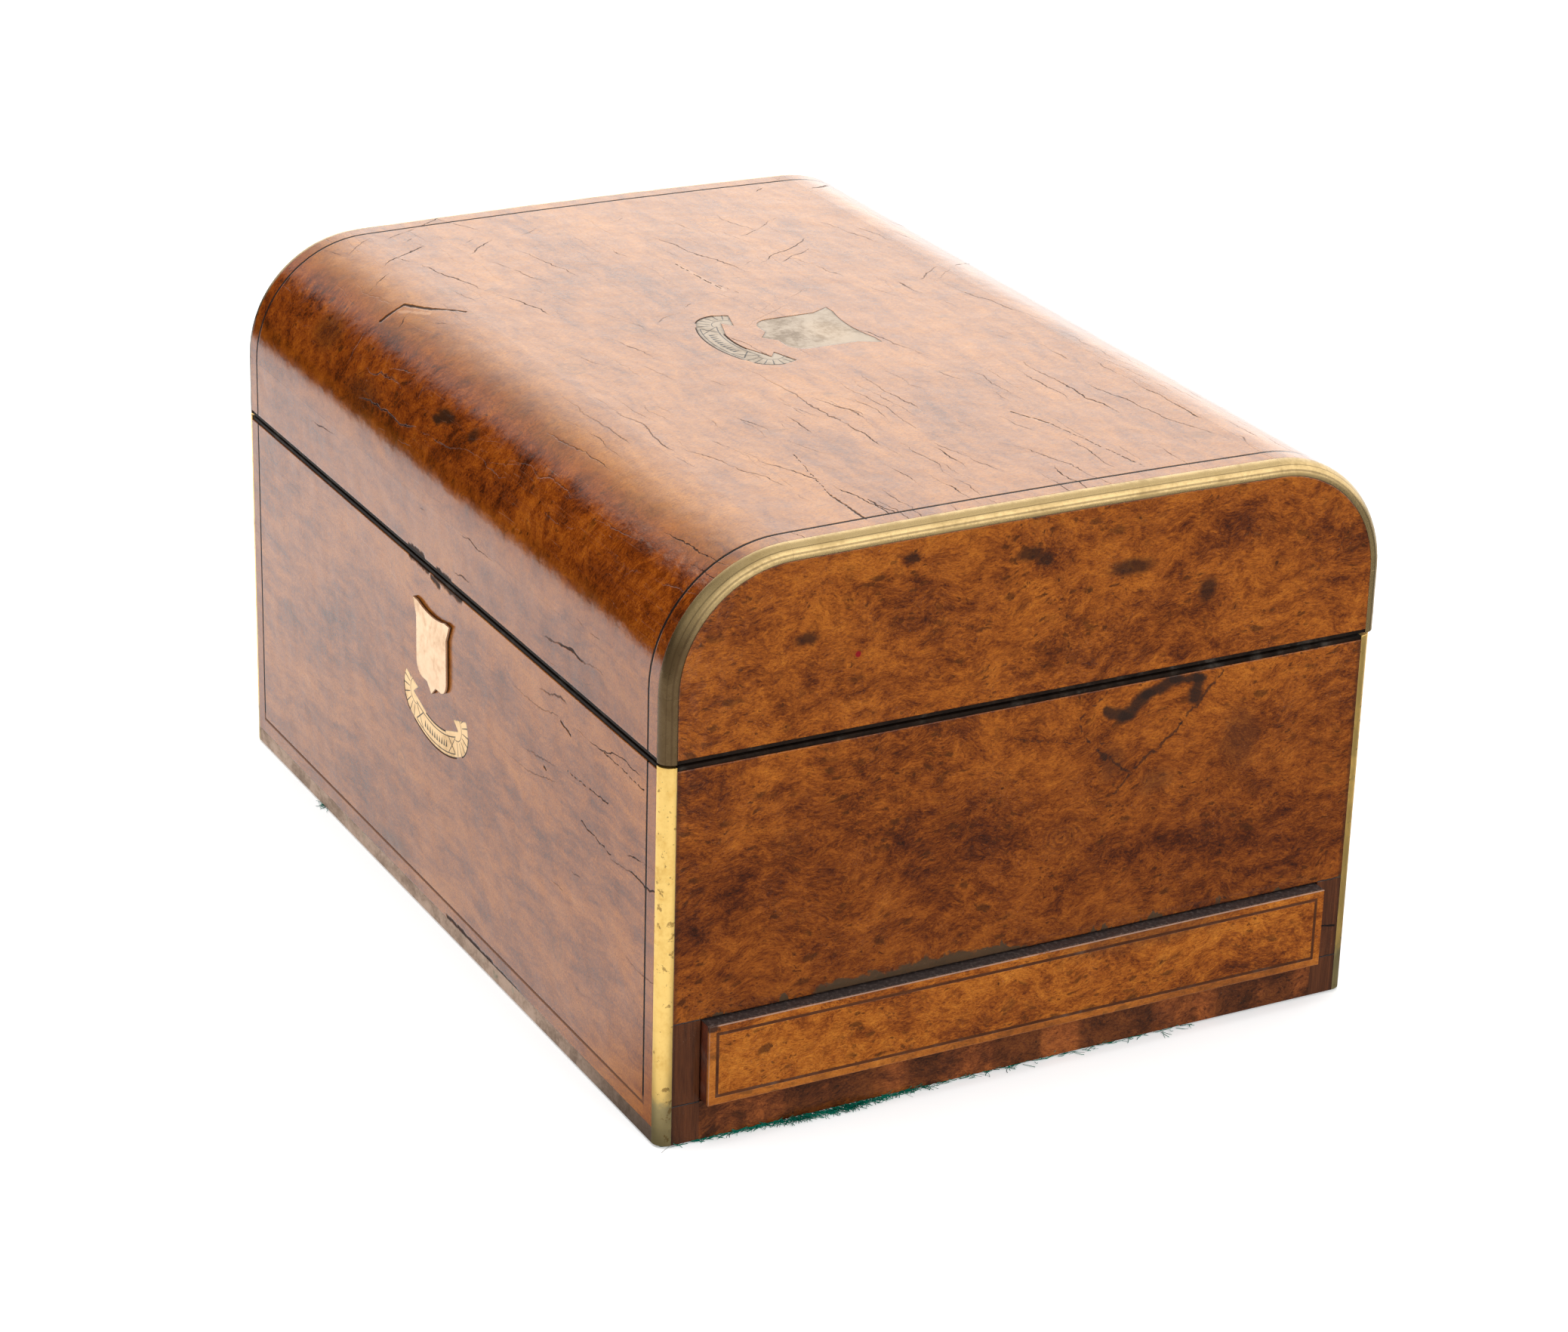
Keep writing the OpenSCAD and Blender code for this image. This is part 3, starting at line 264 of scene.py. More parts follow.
def burr_figure(g, seed, lean, palette, gain=1.5, flecks=0.8, strokes=1,
                stretch=(1, 0.6, 1), tilt=(20, -20, 35), swirl=0.55):
    """Burr walnut: soft clouds, short curled strokes, clustered eyes and small dark flecks."""
    base = g.vmath("ADD", g.p, (seed * 171.3, seed * -93.7, seed * 57.1))
    q = g.stir(g.stir(base, 0.02, 40 * swirl), 0.085, 8 * swirl)
    fine = g.stir(q, 0.42, 1.2)
    flow = g.turn(q, tilt, stretch)
    cloud = g.noise(flow, 0.045, 4, 0.6)
    mottle = g.noise(flow, 0.23, 7, 0.72, 0.15)
    curl = g.noise(g.turn(fine, (lean, 0, 70), (1, 0.32, 1)), 1.7, 4, 0.7)
    tone = g.scale(g.weigh((cloud, 0.32), (mottle, 0.4), (curl, 0.28)), gain, 0.5 - 0.5 * gain)
    colour = g.ramp(tone, list(zip(STOPS, palette)))
    dark = tuple(0.16 * c for c in palette[3])
    where = g.step(g.noise(base, 0.03, 2, 0.5), 0.46, 0.58)
    eye = g.cells(fine, 0.155)
    rings = g.wave(eye, 40)
    halo = g.times(g.step(eye, 0.44, 0.12), g.scale(rings, 0.7, 0.3), where, 0.5 * flecks)
    colour = g.mix(halo, colour, tuple(2.2 * c for c in dark))
    colour = g.mix(g.times(g.step(eye, 0.11, 0.05), where, flecks), colour, dark)
    wide = g.cells(q, 0.034)
    chosen = g.step(g.xyz(g.cells(q, 0.034, "Color"))[0], 0.66, 0.72)
    whorl = g.wave(wide, 62)
    whorl = g.times(g.step(wide, 0.26, 0.08), whorl, chosen, 0.36)
    colour = g.mix(whorl, colour, tuple(1.8 * c for c in dark))
    clumps = g.step(g.noise(base, 0.055, 3, 0.6), 0.44, 0.58)
    for size, share in ((0.24, 0.62), (0.46, 0.58), (0.85, 0.55)):
        ragged = g.turn(g.stir(fine, 1.1, 1.3), (lean, 20, 50), (1, 0.42, 1), (size * 90, 0, 0))
        picked = g.step(g.xyz(g.cells(ragged, size, "Color"))[0], share, share + 0.04)
        fleck = g.times(g.step(g.cells(ragged, size), 0.36, 0.18), picked, clumps, flecks)
        colour = g.mix(fleck, colour, tuple(1.5 * c for c in dark))
    grain = g.noise(g.turn(fine, (lean, 0, 70), (1, 0.16, 1)), 3, 3, 0.7)
    colour = g.mix(g.step(grain, 0.5, 0.72, 0, 0.55 * strokes), colour, (1.35, 1.4, 1.4), "MULTIPLY")
    colour = g.mix(g.step(grain, 0.5, 0.3, 0, 0.75 * strokes), colour, (0.5, 0.45, 0.42), "MULTIPLY")
    speck = g.noise(g.turn(base, (lean, 10, 40), (1, 0.45, 1)), 3.2, 2, 0.6)
    colour = g.mix(g.step(speck, 0.5, 0.34, 0, 0.6), colour, (0.46, 0.4, 0.38), "MULTIPLY")
    return colour, g.weigh((grain, 0.5), (curl, 0.5))


def scratches(g, seed):
    """Long fine scuffs in three directions."""
    total = 0
    for i, (a, b, c) in enumerate(((12, 40, 25), (-35, 8, 70), (50, -20, -40))):
        v = g.turn(g.p, (a, b, c), (0.018, 1, 1), (seed * 31 + i * 77, 0, 0))
        line = g.size(g.less(g.noise(v, 0.9, 1, 0.5), 0.5))
        gate = g.step(g.noise(g.turn(g.p, (a, b, c), (0.3, 1, 1)), 0.05, 2, 0.5), 0.53, 0.62)
        total = g.plus(g.times(g.step(line, 0.004, 0), gate), total, clamp=True)
    return total


def hair_cracks(g, seed, angles, apart, width, gate, region):
    """Shrinkage cracks along a turned X axis. They wander, open, and close again on the way."""
    v = g.stir(g.stir(g.p, 0.055, 7, 2), 0.5, 1.5, 4)
    v = g.turn(v, angles, shift=(0, seed * 7, 0))
    y = g.xyz(v)[1]
    drift = g.noise(g.squash(v, (0.12, 1, 1)), 0.035, 2, 0.5)
    row = g.plus(g.math("DIVIDE", y, apart), g.times(drift, 3.4))
    off = g.times(g.math("PINGPONG", row, 0.5), apart)
    some = g.step(g.noise(g.turn(v, (0, 0, 0), (0.22, 1, 0.2), (seed * 11, 0, 0)), 0.1, 3, 0.55), *gate)
    open_by = g.times(some, width)
    line = g.less(1, g.math("DIVIDE", off, g.plus(open_by, 0.001)), clamp=True)
    return g.times(g.step(line, 0, 0.5), some, region)


def polish(g, colour, height, seed, rough=0.11, cracks=None, bevel=0.0004):
    """Worn french polish: faintly uneven, scuffed, cracked through where the veneer has shrunk."""
    scuff = scratches(g, seed)
    colour = g.lay(colour, (0.3, 0.2, 0.14), scuff, 0.3)
    h = g.weigh((g.noise(g.p, 0.09, 3, 0.5), 1.2), (height, 0.12), (g.noise(g.p, 2.2, 3, 0.7), 0.04))
    coat = 1
    if cracks is not None:
        h = g.less(h, g.times(cracks, 0.9))
        colour = g.lay(colour, (0.012, 0.005, 0.003), cracks, 0.92)
        coat = g.scale(cracks, -0.8, 1, clamp=True)
    normal = g.bump(h, 0.5, 0.0004, g.bevel(bevel))
    g.surface(Base_Color=colour, Roughness=0.6, IOR=1.45, Specular_IOR_Level=0,
              Coat_Weight=coat, Coat_Roughness=rough, Coat_IOR=1.52, Normal=normal, Coat_Normal=normal)
    return g.owner


def burr(name, seed, lean=20, palette=AMBER, marks=None, cracks=None, figure=None, **kw):
    g = Graph(name)
    colour, height = burr_figure(g, seed, lean, palette, **(figure or {}))
    if marks:
        colour = marks(g, colour)
    return polish(g, colour, height, seed, cracks=cracks(g) if cracks else None, **kw)


def wood_tone(g, seed, along, dark, light):
    squeeze = {"X": (0.06, 1, 1), "Y": (1, 0.06, 1), "Z": (1, 1, 0.06)}[along]
    v = g.turn(g.p, (0, 0, 0), squeeze, (seed * 43, seed * 17, seed * 29))
    fibre = g.noise(v, 2.4, 4, 0.7)
    tone = g.weigh((g.noise(v, 0.22, 4, 0.6, 0.7), 0.6), (fibre, 0.4))
    return g.ramp(tone, [(0.35, dark), (0.62, light)]), fibre


def plain_wood(name, dark, light, seed, along="X", gloss=0.5, marks=None, shine=0.4, coat=None):
    """Straight-grained carcass wood."""
    g = Graph(name)
    colour, fibre = wood_tone(g, seed, along, dark, light)
    dust = g.step(g.noise(g.p, 0.13, 5, 0.65), 0.52, 0.75, 0, 0.25)
    colour = g.mix(dust, colour, (0.2, 0.17, 0.14))
    if marks:
        colour = marks(g, colour)
    normal = g.bump(fibre, 0.35, 0.0002, g.bevel(0.0003))
    g.surface(Base_Color=colour, Roughness=gloss, Specular_IOR_Level=shine, Normal=normal,
              Coat_Weight=coat(g) if coat else 0, Coat_Roughness=0.15, Coat_IOR=1.52)
    return g.owner


# Marks of age on each face --------------------------------------------------------------------

# Reach of a spot through the wood, past any face
THROUGH = 30

# Grime over the drawer: middle, and radii along and up
GRIME = ((-28, 17, 3.6), (-55, 12, 3), (-8, 10, 2.2))
# Brown patches on the right end: middle (y, z) and radii
END_PATCHES = ((70, 90.5, 6, 9), (41.9, 83, 5, 3.5), (27, 91, 4, 5))
# Strokes of the black stain there and of its thin tide line: from (y, z), to (y, z), width
STAIN = ((24.4, 107.2, 31, 104.8, 1.9), (30.5, 104.6, 37.5, 110.2, 2.7), (37.5, 110.2, 47, 112.6, 2.2),
         (46, 112.9, 56, 112.2, 1.4), (54.4, 111.4, 53.6, 106.4, 2.5))
TIDE = ((23.5, 112.4, 14.1, 106.4, 0.42), (14.1, 106.4, 19.2, 97.9, 0.5), (19.2, 97.9, 33.5, 86.2, 0.6),
        (33.5, 86.2, 27.9, 81.4, 0.6), (62.3, 112.9, 49.7, 98.7, 0.55), (49.7, 98.7, 34.8, 87.5, 0.65),
        (-6, 104.4, 26, 97.2, 0.26))
# Dark knots on the lid's end: middle (y, z) and radii
LID_END_KNOTS = ((-40.2, 164, 2.5, 1.6), (-3.4, 159.2, 4.5, 2), (1.5, 156.8, 2.5, 2),
                 (55.5, 139.1, 3, 3.6), (-72, 146, 3.5, 1.8), (30, 150, 7, 2.6))
# Chips and cracks of the front: from (x, z), to (x, z), width
FRONT_CHIPS = ((-19, 114.9, -5, 114.6, 1.7), (0, 115, 19, 114.2, 2),
               (-2, 113.4, 3, 112.6, 1.6), (8, FOOT_TOP + 0.9, 60, FOOT_TOP - 0.3, 1.1),
               (88, 103.8, 95, 102, 0.55), (93, 90.2, 119, 91.6, 0.32),
               (116, 105.8, 141, 105, 0.3), (102, 78.8, 121, 76.8, 0.34),
               (77.2, 85.2, 78.6, 84.6, 0.75))
# Bruises on the lid's rounded front: middle (x, z), radii and strength
LID_BRUISES = ((-11, 159.5, 5.5, 1.6, 0.9), (-14.5, 157.6, 3, 1, 0.9), (8, 160, 2.6, 1.7, 0.7),
               (-100, 158, 9, 5, 0.5), (-62, 150, 12, 5, 0.45))
# Painted highlights on the raised lips beside cracks in the lid: from, to, width
LID_CRACK_HIGHLIGHTS = (((-74, 0.8, LID_TOP), (-44, 3, LID_TOP), 0.5),
            ((58, 86, LID_TOP), (70, 88, LID_TOP), 0.9),
            ((86.5, 28.5, LID_TOP), (100, 33.6, LID_TOP), 0.4),
            ((-77, -92, 169.4), (-66, -87, 171.6), 0.6))
# Cracks of the lid's top: from (x, y), to (x, y), width; then those that run down its rounded front
TOP_CRACKS = ((143.5, -50.3, 124, -50.6, 0.55), (142.5, -42.9, 131, -42.6, 0.35),
              (124, -50.6, 92, -45, 0.22), (-74, 0.6, -44, 2.8, 0.35),
              (86.8, 28.5, 99.3, 33.6, 0.45), (99.3, 33.6, 140, 40, 0.25),
              (-57, 1.4, -40, 6, 0.25), (62, 79.3, 58, 87, 0.5))
CURVE_CRACKS = (((-79, -97.6, 166.6), (-79.3, -89.6, 170.8), 1),
                ((-79.3, -89.6, 170.8), (-68.7, -85.4, 172.1), 1),
                ((-68.7, -85.4, 172.1), (-59.3, -78, 173.2), 0.8))
# Chips along the lid's lower front edge: from (x, z), to (x, z), width
LID_CHIPS = ((-19, LID_LOW, -8, LID_LOW + 0.4, 1.3), (2, LID_LOW, 12, LID_LOW, 1.1))


def on_end(y, z):
    return END_X, y, z


def on_front(x, z):
    return x, FRONT_Y, z


def on_top(x, y):
    return x, y, LID_TOP - 0.2


def scars(g, table, place, ragged, freq=0.35, wider=1):
    """Ragged lines on a face, one for each row of a table."""
    return [g.scar(place(a, b), place(c, d), w * wider, ragged, freq) for a, b, c, d, w in table]


def end_strips(g, colour):
    """The redder strips below and beside the drawer, with their joints, and grime over it."""
    _, y, z = g.xyz(g.stir(g.p, 0.5, 0.7, 4))
    side = g.step(g.size(y), OPEN_D - 0.2, OPEN_D)
    low = g.step(z, OPEN_Z + 0.1, OPEN_Z - 0.1)
    beside = g.times(side, g.step(z, OPEN_TOP + 0.1, OPEN_TOP - 0.1))
    strips = burr_figure(g, 11.7, 5, BROWN)[0]
    bands = g.step(g.noise(g.squash(g.p, (1, 1, 0.15)), 0.045, 3, 0.6), 0.46, 0.58, 0.75, 1.55)
    strips = g.mix(1, strips, bands, "MULTIPLY")
    plain = wood_tone(g, 4, "Z", (0.03, 0.01, 0.0048), (0.13, 0.04, 0.013))[0]
    colour = g.mix(low, colour, strips)
    colour = g.mix(beside, colour, plain)
    joints = g.most(g.near(z, OPEN_TOP, 0.28), g.near(z, OPEN_Z, 0.34))
    colour = g.lay(colour, (0.01, 0.004, 0.003), joints, side, 0.95)
    split = g.scar(on_end(OPEN_D + 1, 23.5), on_end(OPEN_D + 7.5, 22.5), 0.5, 0.4)
    colour = g.mix(split, colour, (0.008, 0.003, 0.002))
    rag = g.scale(g.noise(g.squash(g.p, (1, 1, 0.4)), 0.11, 5, 0.62), 26, -13.9)
    high = g.less(z, OPEN_TOP)
    dirt = g.times(g.step(g.less(rag, high), 0, 0.5), g.step(high, -0.3, 0.1))
    for cy, ry, rz in GRIME:
        patch = g.spot(on_end(cy, OPEN_TOP), (THROUGH, ry, rz), 0.12, 9, 0.16)
        dirt = g.most(dirt, g.times(patch, g.step(high, -0.3, 0.1)))
    return g.lay(colour, (0.062, 0.04, 0.02), dirt, 0.9)


def end_marks(g, colour):
    """The stain with its tide line, the joints, the strips and the grime of the right end."""
    # painted shade: the end is darker towards its foot
    shade = g.step(g.z, 118, 70)
    colour = g.mix(g.times(shade, 0.9), colour, (0.78, 0.73, 0.7), "MULTIPLY")
    colour = end_strips(g, colour)
    for cy, cz, ry, rz in END_PATCHES:
        patch = g.spot(on_end(cy, cz), (THROUGH, ry, rz), 0.6, 6, 0.18)
        colour = g.lay(colour, (0.06, 0.018, 0.006), patch, 0.5)
    for marks, ragged, dark in ((STAIN, 1.6, 0.9), (TIDE, 2.4, 0.75)):
        for core in scars(g, marks, on_end, ragged, 0.3, 1.25):
            colour = g.lay(colour, (0.022, 0.01, 0.006), core, dark)
    whorl = g.reach(on_end(11.4, 70.6), (THROUGH, 7, 5.5), 3, 0.2)
    knot = g.step(whorl, 1.6, 0.4)
    colour = g.mix(g.times(knot, g.wave(whorl, 24), 0.55), colour, (0.075, 0.016, 0.004))
    edge = g.step(g.size(g.y), -FRONT_Y - 5.6, -FRONT_Y - 4.6)
    return g.lay(colour, (0.03, 0.01, 0.004), edge, 0.5)


def lid_end_marks(g, colour):
    """Dark knots and one spot of red."""
    for y, z, ry, rz in LID_END_KNOTS:
        m = g.spot(on_end(y, z), (THROUGH, ry, rz), 0.5, 2.4, 0.4)
        colour = g.lay(colour, (0.022, 0.007, 0.003), m, 0.85)
    dot = g.spot(on_end(-56.1, 138.9), (THROUGH, 0.9, 0.9), 0.3)
    return g.mix(dot, colour, (0.22, 0.004, 0.006))


def front_marks(g, colour):
    """A bruise low on the front and the redder banding at its ends."""
    bruise = g.spot(on_front(-34, 13), (12, THROUGH, 3), 0.5, 5, 0.2)
    colour = g.lay(colour, (0.05, 0.02, 0.012), bruise, 0.5)
    band = g.step(g.size(g.x), EDGE_X - 5.6, EDGE_X - 5.2)
    return g.lay(colour, (0.24, 0.06, 0.012), band, 0.35)


def faint_below(g, colour):
    """The front's lower line has shrunk to a hair in the wood."""
    low = box_mm("front_stringing")[0].z
    below = g.step(g.z, low + 3, low + 2)
    hair = g.near(g.z, low + 0.5, 0.16, 0.8)
    wood = g.mix(g.times(hair, 0.85), (0.26, 0.11, 0.055), (0.04, 0.016, 0.01))
    return g.mix(g.times(below, 0.85), colour, wood)


def hazed(g):
    """Polish over the lid's line, where it runs out of sight over the back."""
    return g.step(g.y, 70, 95)


def front_cracks(g):
    """Hair cracks by the near corner, the open joint beside the line, and the inlay's outline."""
    corner = g.times(g.step(g.x, 40, 120), g.step(g.z, 20, 80))
    joint = g.times(g.near(g.x, EDGE_X - 5.4, 0.25), g.step(g.noise(g.p, 0.09, 3, 0.6), 0.5, 0.56))
    hair = hair_cracks(g, 1, (-90, 0, -4), 6, 0.26, (0.54, 0.64), g.plus(corner, 0.12, clamp=True))
    return g.most(hair, *scars(g, FRONT_CHIPS, on_front, 1.1), joint,
                  ribbon_outline(g, g.x, g.z, box_mm("front_ribbon")[0].z))


def lid_marks(g, colour):
    """Deep wood on the rounded front, bruises in it, and a painted highlight by the near corner, broken up
    by crazing.
    """
    deep = burr_figure(g, 3.9, 15, DEEP)[0]
    pale = burr_figure(g, 4.4, 0, FRONT, **SLANTED)[0]
    deep = g.mix(g.step(g.z, LID_LOW + 34, LID_LOW + 20, 0, 0.8), deep, pale)
    colour = g.mix(g.step(g.z, LID_TOP - 1, LID_TOP - 10), colour, deep)
    for px, pz, rx, rz, strength in LID_BRUISES:
        bruise = g.spot((px, -105, pz), (rx, 16, rz), 0.5, 2, 0.4)
        colour = g.lay(colour, (0.018, 0.008, 0.004), bruise, strength)
    # painted highlight: a pale band along the curve near the corner, broken up by crazing in the polish
    craze = g.noise(g.turn(g.stir(g.p, 0.5, 2), (0, 0, 0), (0.3, 1, 1)), 0.7, 5, 0.75)
    highlight_streak = g.times(g.near(g.z, LID_TOP - 9, 3.4, 0.95), g.step(g.x, 60, 135),
                     g.step(g.y, -60, -80))
    colour = g.lay(colour, (0.6, 0.36, 0.24), highlight_streak, g.step(craze, 0.44, 0.7), 0.22)
    # painted highlights on the lit lips of the cracks
    for a, b, width in LID_CRACK_HIGHLIGHTS:
        colour = g.lay(colour, (0.7, 0.42, 0.24), g.scar(a, b, width * 1.8, 0.8), 0.25)
    return colour


def lid_cracks(g):
    """Long cracks that run in from the near end, hair cracks, and small curled ones to the left."""
    top = g.step(g.z, LID_TOP - 22, LID_TOP - 4)
    right = g.scale(g.step(g.x, 10, 90), 0.85, 0.15)
    left = g.times(top, g.step(g.x, 0, -50))
    low = hair_cracks(g, 3, (-90, 0, -4), 7, 0.22, (0.56, 0.66), g.less(1, top))
    outline = ribbon_outline(g, g.x, g.y, box_mm("lid_cartouche")[0].y)
    return g.most(hair_cracks(g, 2, (0, 0, -2), 5.5, 0.24, (0.5, 0.64), g.times(top, right)),
                  hair_cracks(g, 5, (0, 0, -14), 9, 0.2, (0.53, 0.66), top),
                  hair_cracks(g, 9, (0, 0, 55), 6, 0.3, (0.6, 0.68), left),
                  *scars(g, TOP_CRACKS, on_top, 0.9),
                  *[g.scar(a, b, width, 0.8, 0.35) for a, b, width in CURVE_CRACKS],
                  *scars(g, LID_CHIPS, on_front, 1.1), low, g.times(outline, top))


def drawer_marks(g, colour):
    """Paler arrises at the top and the near side, worn and painted lighter as a highlight, and grime on the
    drawer's top edge.
    """
    x, y, z = g.x, g.y, g.z
    face = g.step(x, DROP.x - 0.6, DROP.x - 0.1)
    worn = g.step(g.noise(g.p, 0.25, 3, 0.6), 0.3, 0.42, 0.35, 1)
    # the arrises: wear, and a painted highlight that is strongest along the top edge and faint at the foot
    top = g.times(g.step(z, DROP.z - 0.34, DROP.z - 0.2), worn)
    near = g.times(g.step(y, LINE.y + 0.34, LINE.y + 0.2), worn, 0.3)
    foot = g.times(g.step(z, LINE.z + 0.24, LINE.z + 0.12), worn, 0.12)
    rim = g.most(top, near, foot)
    border = g.most(g.step(y, LINE.y + 2.2, LINE.y + 2), g.step(z, LINE.z + 2.3, LINE.z + 2.1))
    colour = g.lay(colour, (0.42, 0.15, 0.03), border, 0.3)
    dirt = g.spot((DROP.x, 40, DROP.z - 1), (20, 28, 4), 0.6, 9, 0.15)
    colour = g.lay(colour, (0.09, 0.03, 0.009), dirt, 0.5)
    chip = g.spot((DROP.x, LINE.y + 1, DROP.z - 0.6), (20, 1.8, 1.3), 0.3, 1, 0.6)
    # painted highlight and wear on the arrises
    colour = g.lay(colour, (0.46, 0.33, 0.26), rim, face, 0.62)
    colour = g.lay(colour, (0.03, 0.012, 0.008), chip, 0.9)
    edge = g.less(1, face)
    dusty = g.step(g.noise(g.p, 0.9, 4, 0.7), 0.45, 0.75)
    grey = g.mix(dusty, (0.028, 0.02, 0.018), (0.2, 0.16, 0.14))
    return g.mix(g.times(edge, g.step(z, DROP.z - 0.6, DROP.z - 0.3)), colour, grey)


def dusty_top(g, colour):
    """Old dust on top of the drawer's front."""
    flat = g.step(g.z, DROP.z - 0.3, DROP.z - 0.05)
    dust = g.step(g.noise(g.p, 0.9, 4, 0.7), 0.45, 0.75)
    specks = g.step(g.cells(g.p, 1.3), 0.13, 0.05)
    grey = g.mix(dust, (0.024, 0.017, 0.016), (0.115, 0.09, 0.082))
    grey = g.mix(g.times(specks, 0.6), grey, (0.45, 0.42, 0.4))
    return g.mix(flat, colour, grey)


# Metal, cloth and glass ---------------------------------------------------------------------

def aged_metal(name, bright, dull, seed, rough=0.28, tarnish=0.5, pits=0.5, bevel=0.0003,
               marks=None, stain=None, lie=(10, 20, 30), metal=1, outline=0):
    g = Graph(name)
    v = g.vmath("ADD", g.p, (seed * 61, seed * 13, seed * 87))
    patina = g.noise(v, 0.09, 6, 0.65, 0.5)
    speck = g.noise(v, 0.9, 4, 0.7)
    m = g.weigh((patina, 0.65), (speck, 0.35))
    m = g.step(m, 0.42 + 0.2 * (0.5 - tarnish), 0.66 + 0.2 * (0.5 - tarnish))
    colour = g.mix(m, bright, dull)
    pit = g.times(g.step(g.cells(v, 0.75), 0.16, 0.05), g.step(g.noise(v, 0.16, 3, 0.6), 0.5, 0.62), pits)
    colour = g.mix(pit, colour, (0.05, 0.032, 0.015))
    # stain recolours the metal: stains and tarnish on most parts, and painted shade on the lid's edging and
    # the keyhole cover
    if stain:
        colour = stain(g, colour)
    fine = g.noise(g.turn(v, lie, (0.12, 1, 1)), 3, 3, 0.7)
    r = g.plus(g.times(m, 0.22), g.scale(fine, 0.16, rough - 0.08))
    h = g.less(g.times(fine, 0.14), pit)
    h = g.plus(h, g.times(g.noise(v, 0.2, 3, 0.5), 0.8))
    if marks:
        cut = marks(g)
        colour = g.mix(cut, colour, tuple(0.12 * c for c in bright))
        h = g.less(h, cut)
    if outline:
        flat = g.add("NewGeometry").outputs["True Normal"]
        rim = g.step(g.vmath("DOT_PRODUCT", g.bevel(outline), flat), 0.985, 0.9)
        colour = g.lay(colour, (0.03, 0.018, 0.01), rim, 0.85)
        metal = g.scale(rim, -0.9 * metal, metal)
    normal = g.bump(h, 0.3, 0.0002, g.bevel(bevel))
    g.surface(Base_Color=colour, Metallic=metal, Roughness=r, Normal=normal)
    return g.owner


# The ribbons: width of the band, width over both curls, radius of the band's outer arc and of a curl
BAND, WIDTH = 7.2, 47.6
MID_R, END_R = 6 * BAND, 1.22 * BAND


def ribbon_places(g, across, up, low):
    """Depth into the band from its outer arc, and the offset from the middle of its curl."""
    du = g.less(g.less(up, low), MID_R)
    r = g.radius(across, du)
    rise = math.sqrt((MID_R - END_R) ** 2 - (WIDTH / 2 - END_R) ** 2)
    ex = g.less(g.size(across), WIDTH / 2 - END_R)
    ey = g.plus(du, rise)
    return g.less(MID_R, r), ex, ey


def ribbon_outline(g, across, up, low):
    """The dark glue line round a ribbon that lies in the plane of two axes."""
    depth, ex, ey = ribbon_places(g, across, up, low)
    inside = g.times(g.step(g.size(across), WIDTH / 2 - END_R + 2, WIDTH / 2 - END_R),
                     g.step(g.less(up, low), MID_R * 0.5, MID_R * 0.4))
    arcs = g.times(g.most(g.near(depth, -0.1, 0.42), g.near(depth, BAND + 0.1, 0.42)), inside)
    er = g.radius(ex, ey)
    curl = g.times(g.near(er, END_R + 0.05, 0.42), g.step(g.plus(ex, g.times(ey, 0.5)), 0, 1),
                   g.step(g.plus(ey, g.times(ex, 0.3)), BAND * 0.5, BAND * 0.36))
    return g.most(arcs, curl, clamp=True)


def ribbon_cuts(g, across, up, low):
    """Engraving: a line along each edge, crosses, small wedges, and flutes on the curls."""
    depth, ex, ey = ribbon_places(g, across, up, low)
    out = g.size(across)
    middle = g.step(out, WIDTH / 2 - END_R, WIDTH / 2 - END_R - 1)
    lines = g.most(g.near(depth, 1, 0.24), g.near(depth, BAND - 1, 0.24))
    off = g.size(g.less(depth, BAND / 2))
    side = g.size(g.less(out, 12))
    cross = g.times(g.step(g.size(g.less(side, off)), 0.36, 0.18), g.step(side, 2.6, 2.4))
    beat = g.size(g.less(g.math("PINGPONG", across, 1.75), 0.875))
    wedge = g.times(g.step(g.plus(beat, g.times(g.less(depth, 2.6), 0.25)), 0.68, 0.52),
                    g.near(depth, BAND / 2, 1.2, 0.2), g.step(out, 8.6, 8.4))
    cuts = g.times(middle, g.most(lines, wedge, cross))
    er = g.radius(ex, ey)
    spokes = g.size(g.math("SINE", g.times(g.math("ARCTAN2", ey, ex), 9)))
    ends = g.times(g.step(spokes, 0.34, 0.14), g.near(er, END_R * 0.76, END_R * 0.26, 0.2))
    ends = g.most(ends, g.near(er, END_R * 0.46, 0.18))
    return g.most(cuts, g.times(ends, g.less(1, middle)), clamp=True)


def front_ribbon_cuts(g):
    return ribbon_cuts(g, g.x, g.z, box_mm("front_ribbon")[0].z)


def lid_plate_cuts(g):
    """The ribbon's engraving. The shield above it is plain."""
    low = box_mm("lid_cartouche")[0].y
    return g.times(ribbon_cuts(g, g.x, g.y, low), g.step(g.y, low + 17.3, low + 17))


def edging_reeds_and_shade(g, colour):
    """Reeds along the lid's edging, and painted shade that darkens it where it comes down to the front."""
    out = box_mm("lid_edge_brass")[1].x
    reed = g.most(g.near(g.x, out - 0.3, 0.16, 0.7), g.near(g.x, out - 1.2, 0.14, 0.7))
    colour = g.lay(colour, (0.07, 0.045, 0.018), reed, 0.6)
    # painted shade on the edging where it turns down to the front
    steep_shade = g.times(g.step(g.z, LID_TOP - 10, LID_TOP - 26), g.step(g.y, -70, -95))
    colour = g.lay(colour, (0.075, 0.04, 0.014), steep_shade, 0.88)
    return g.mix(g.times(g.step(g.y, 80, 105), 0.35), colour, (0.16, 0.11, 0.045))


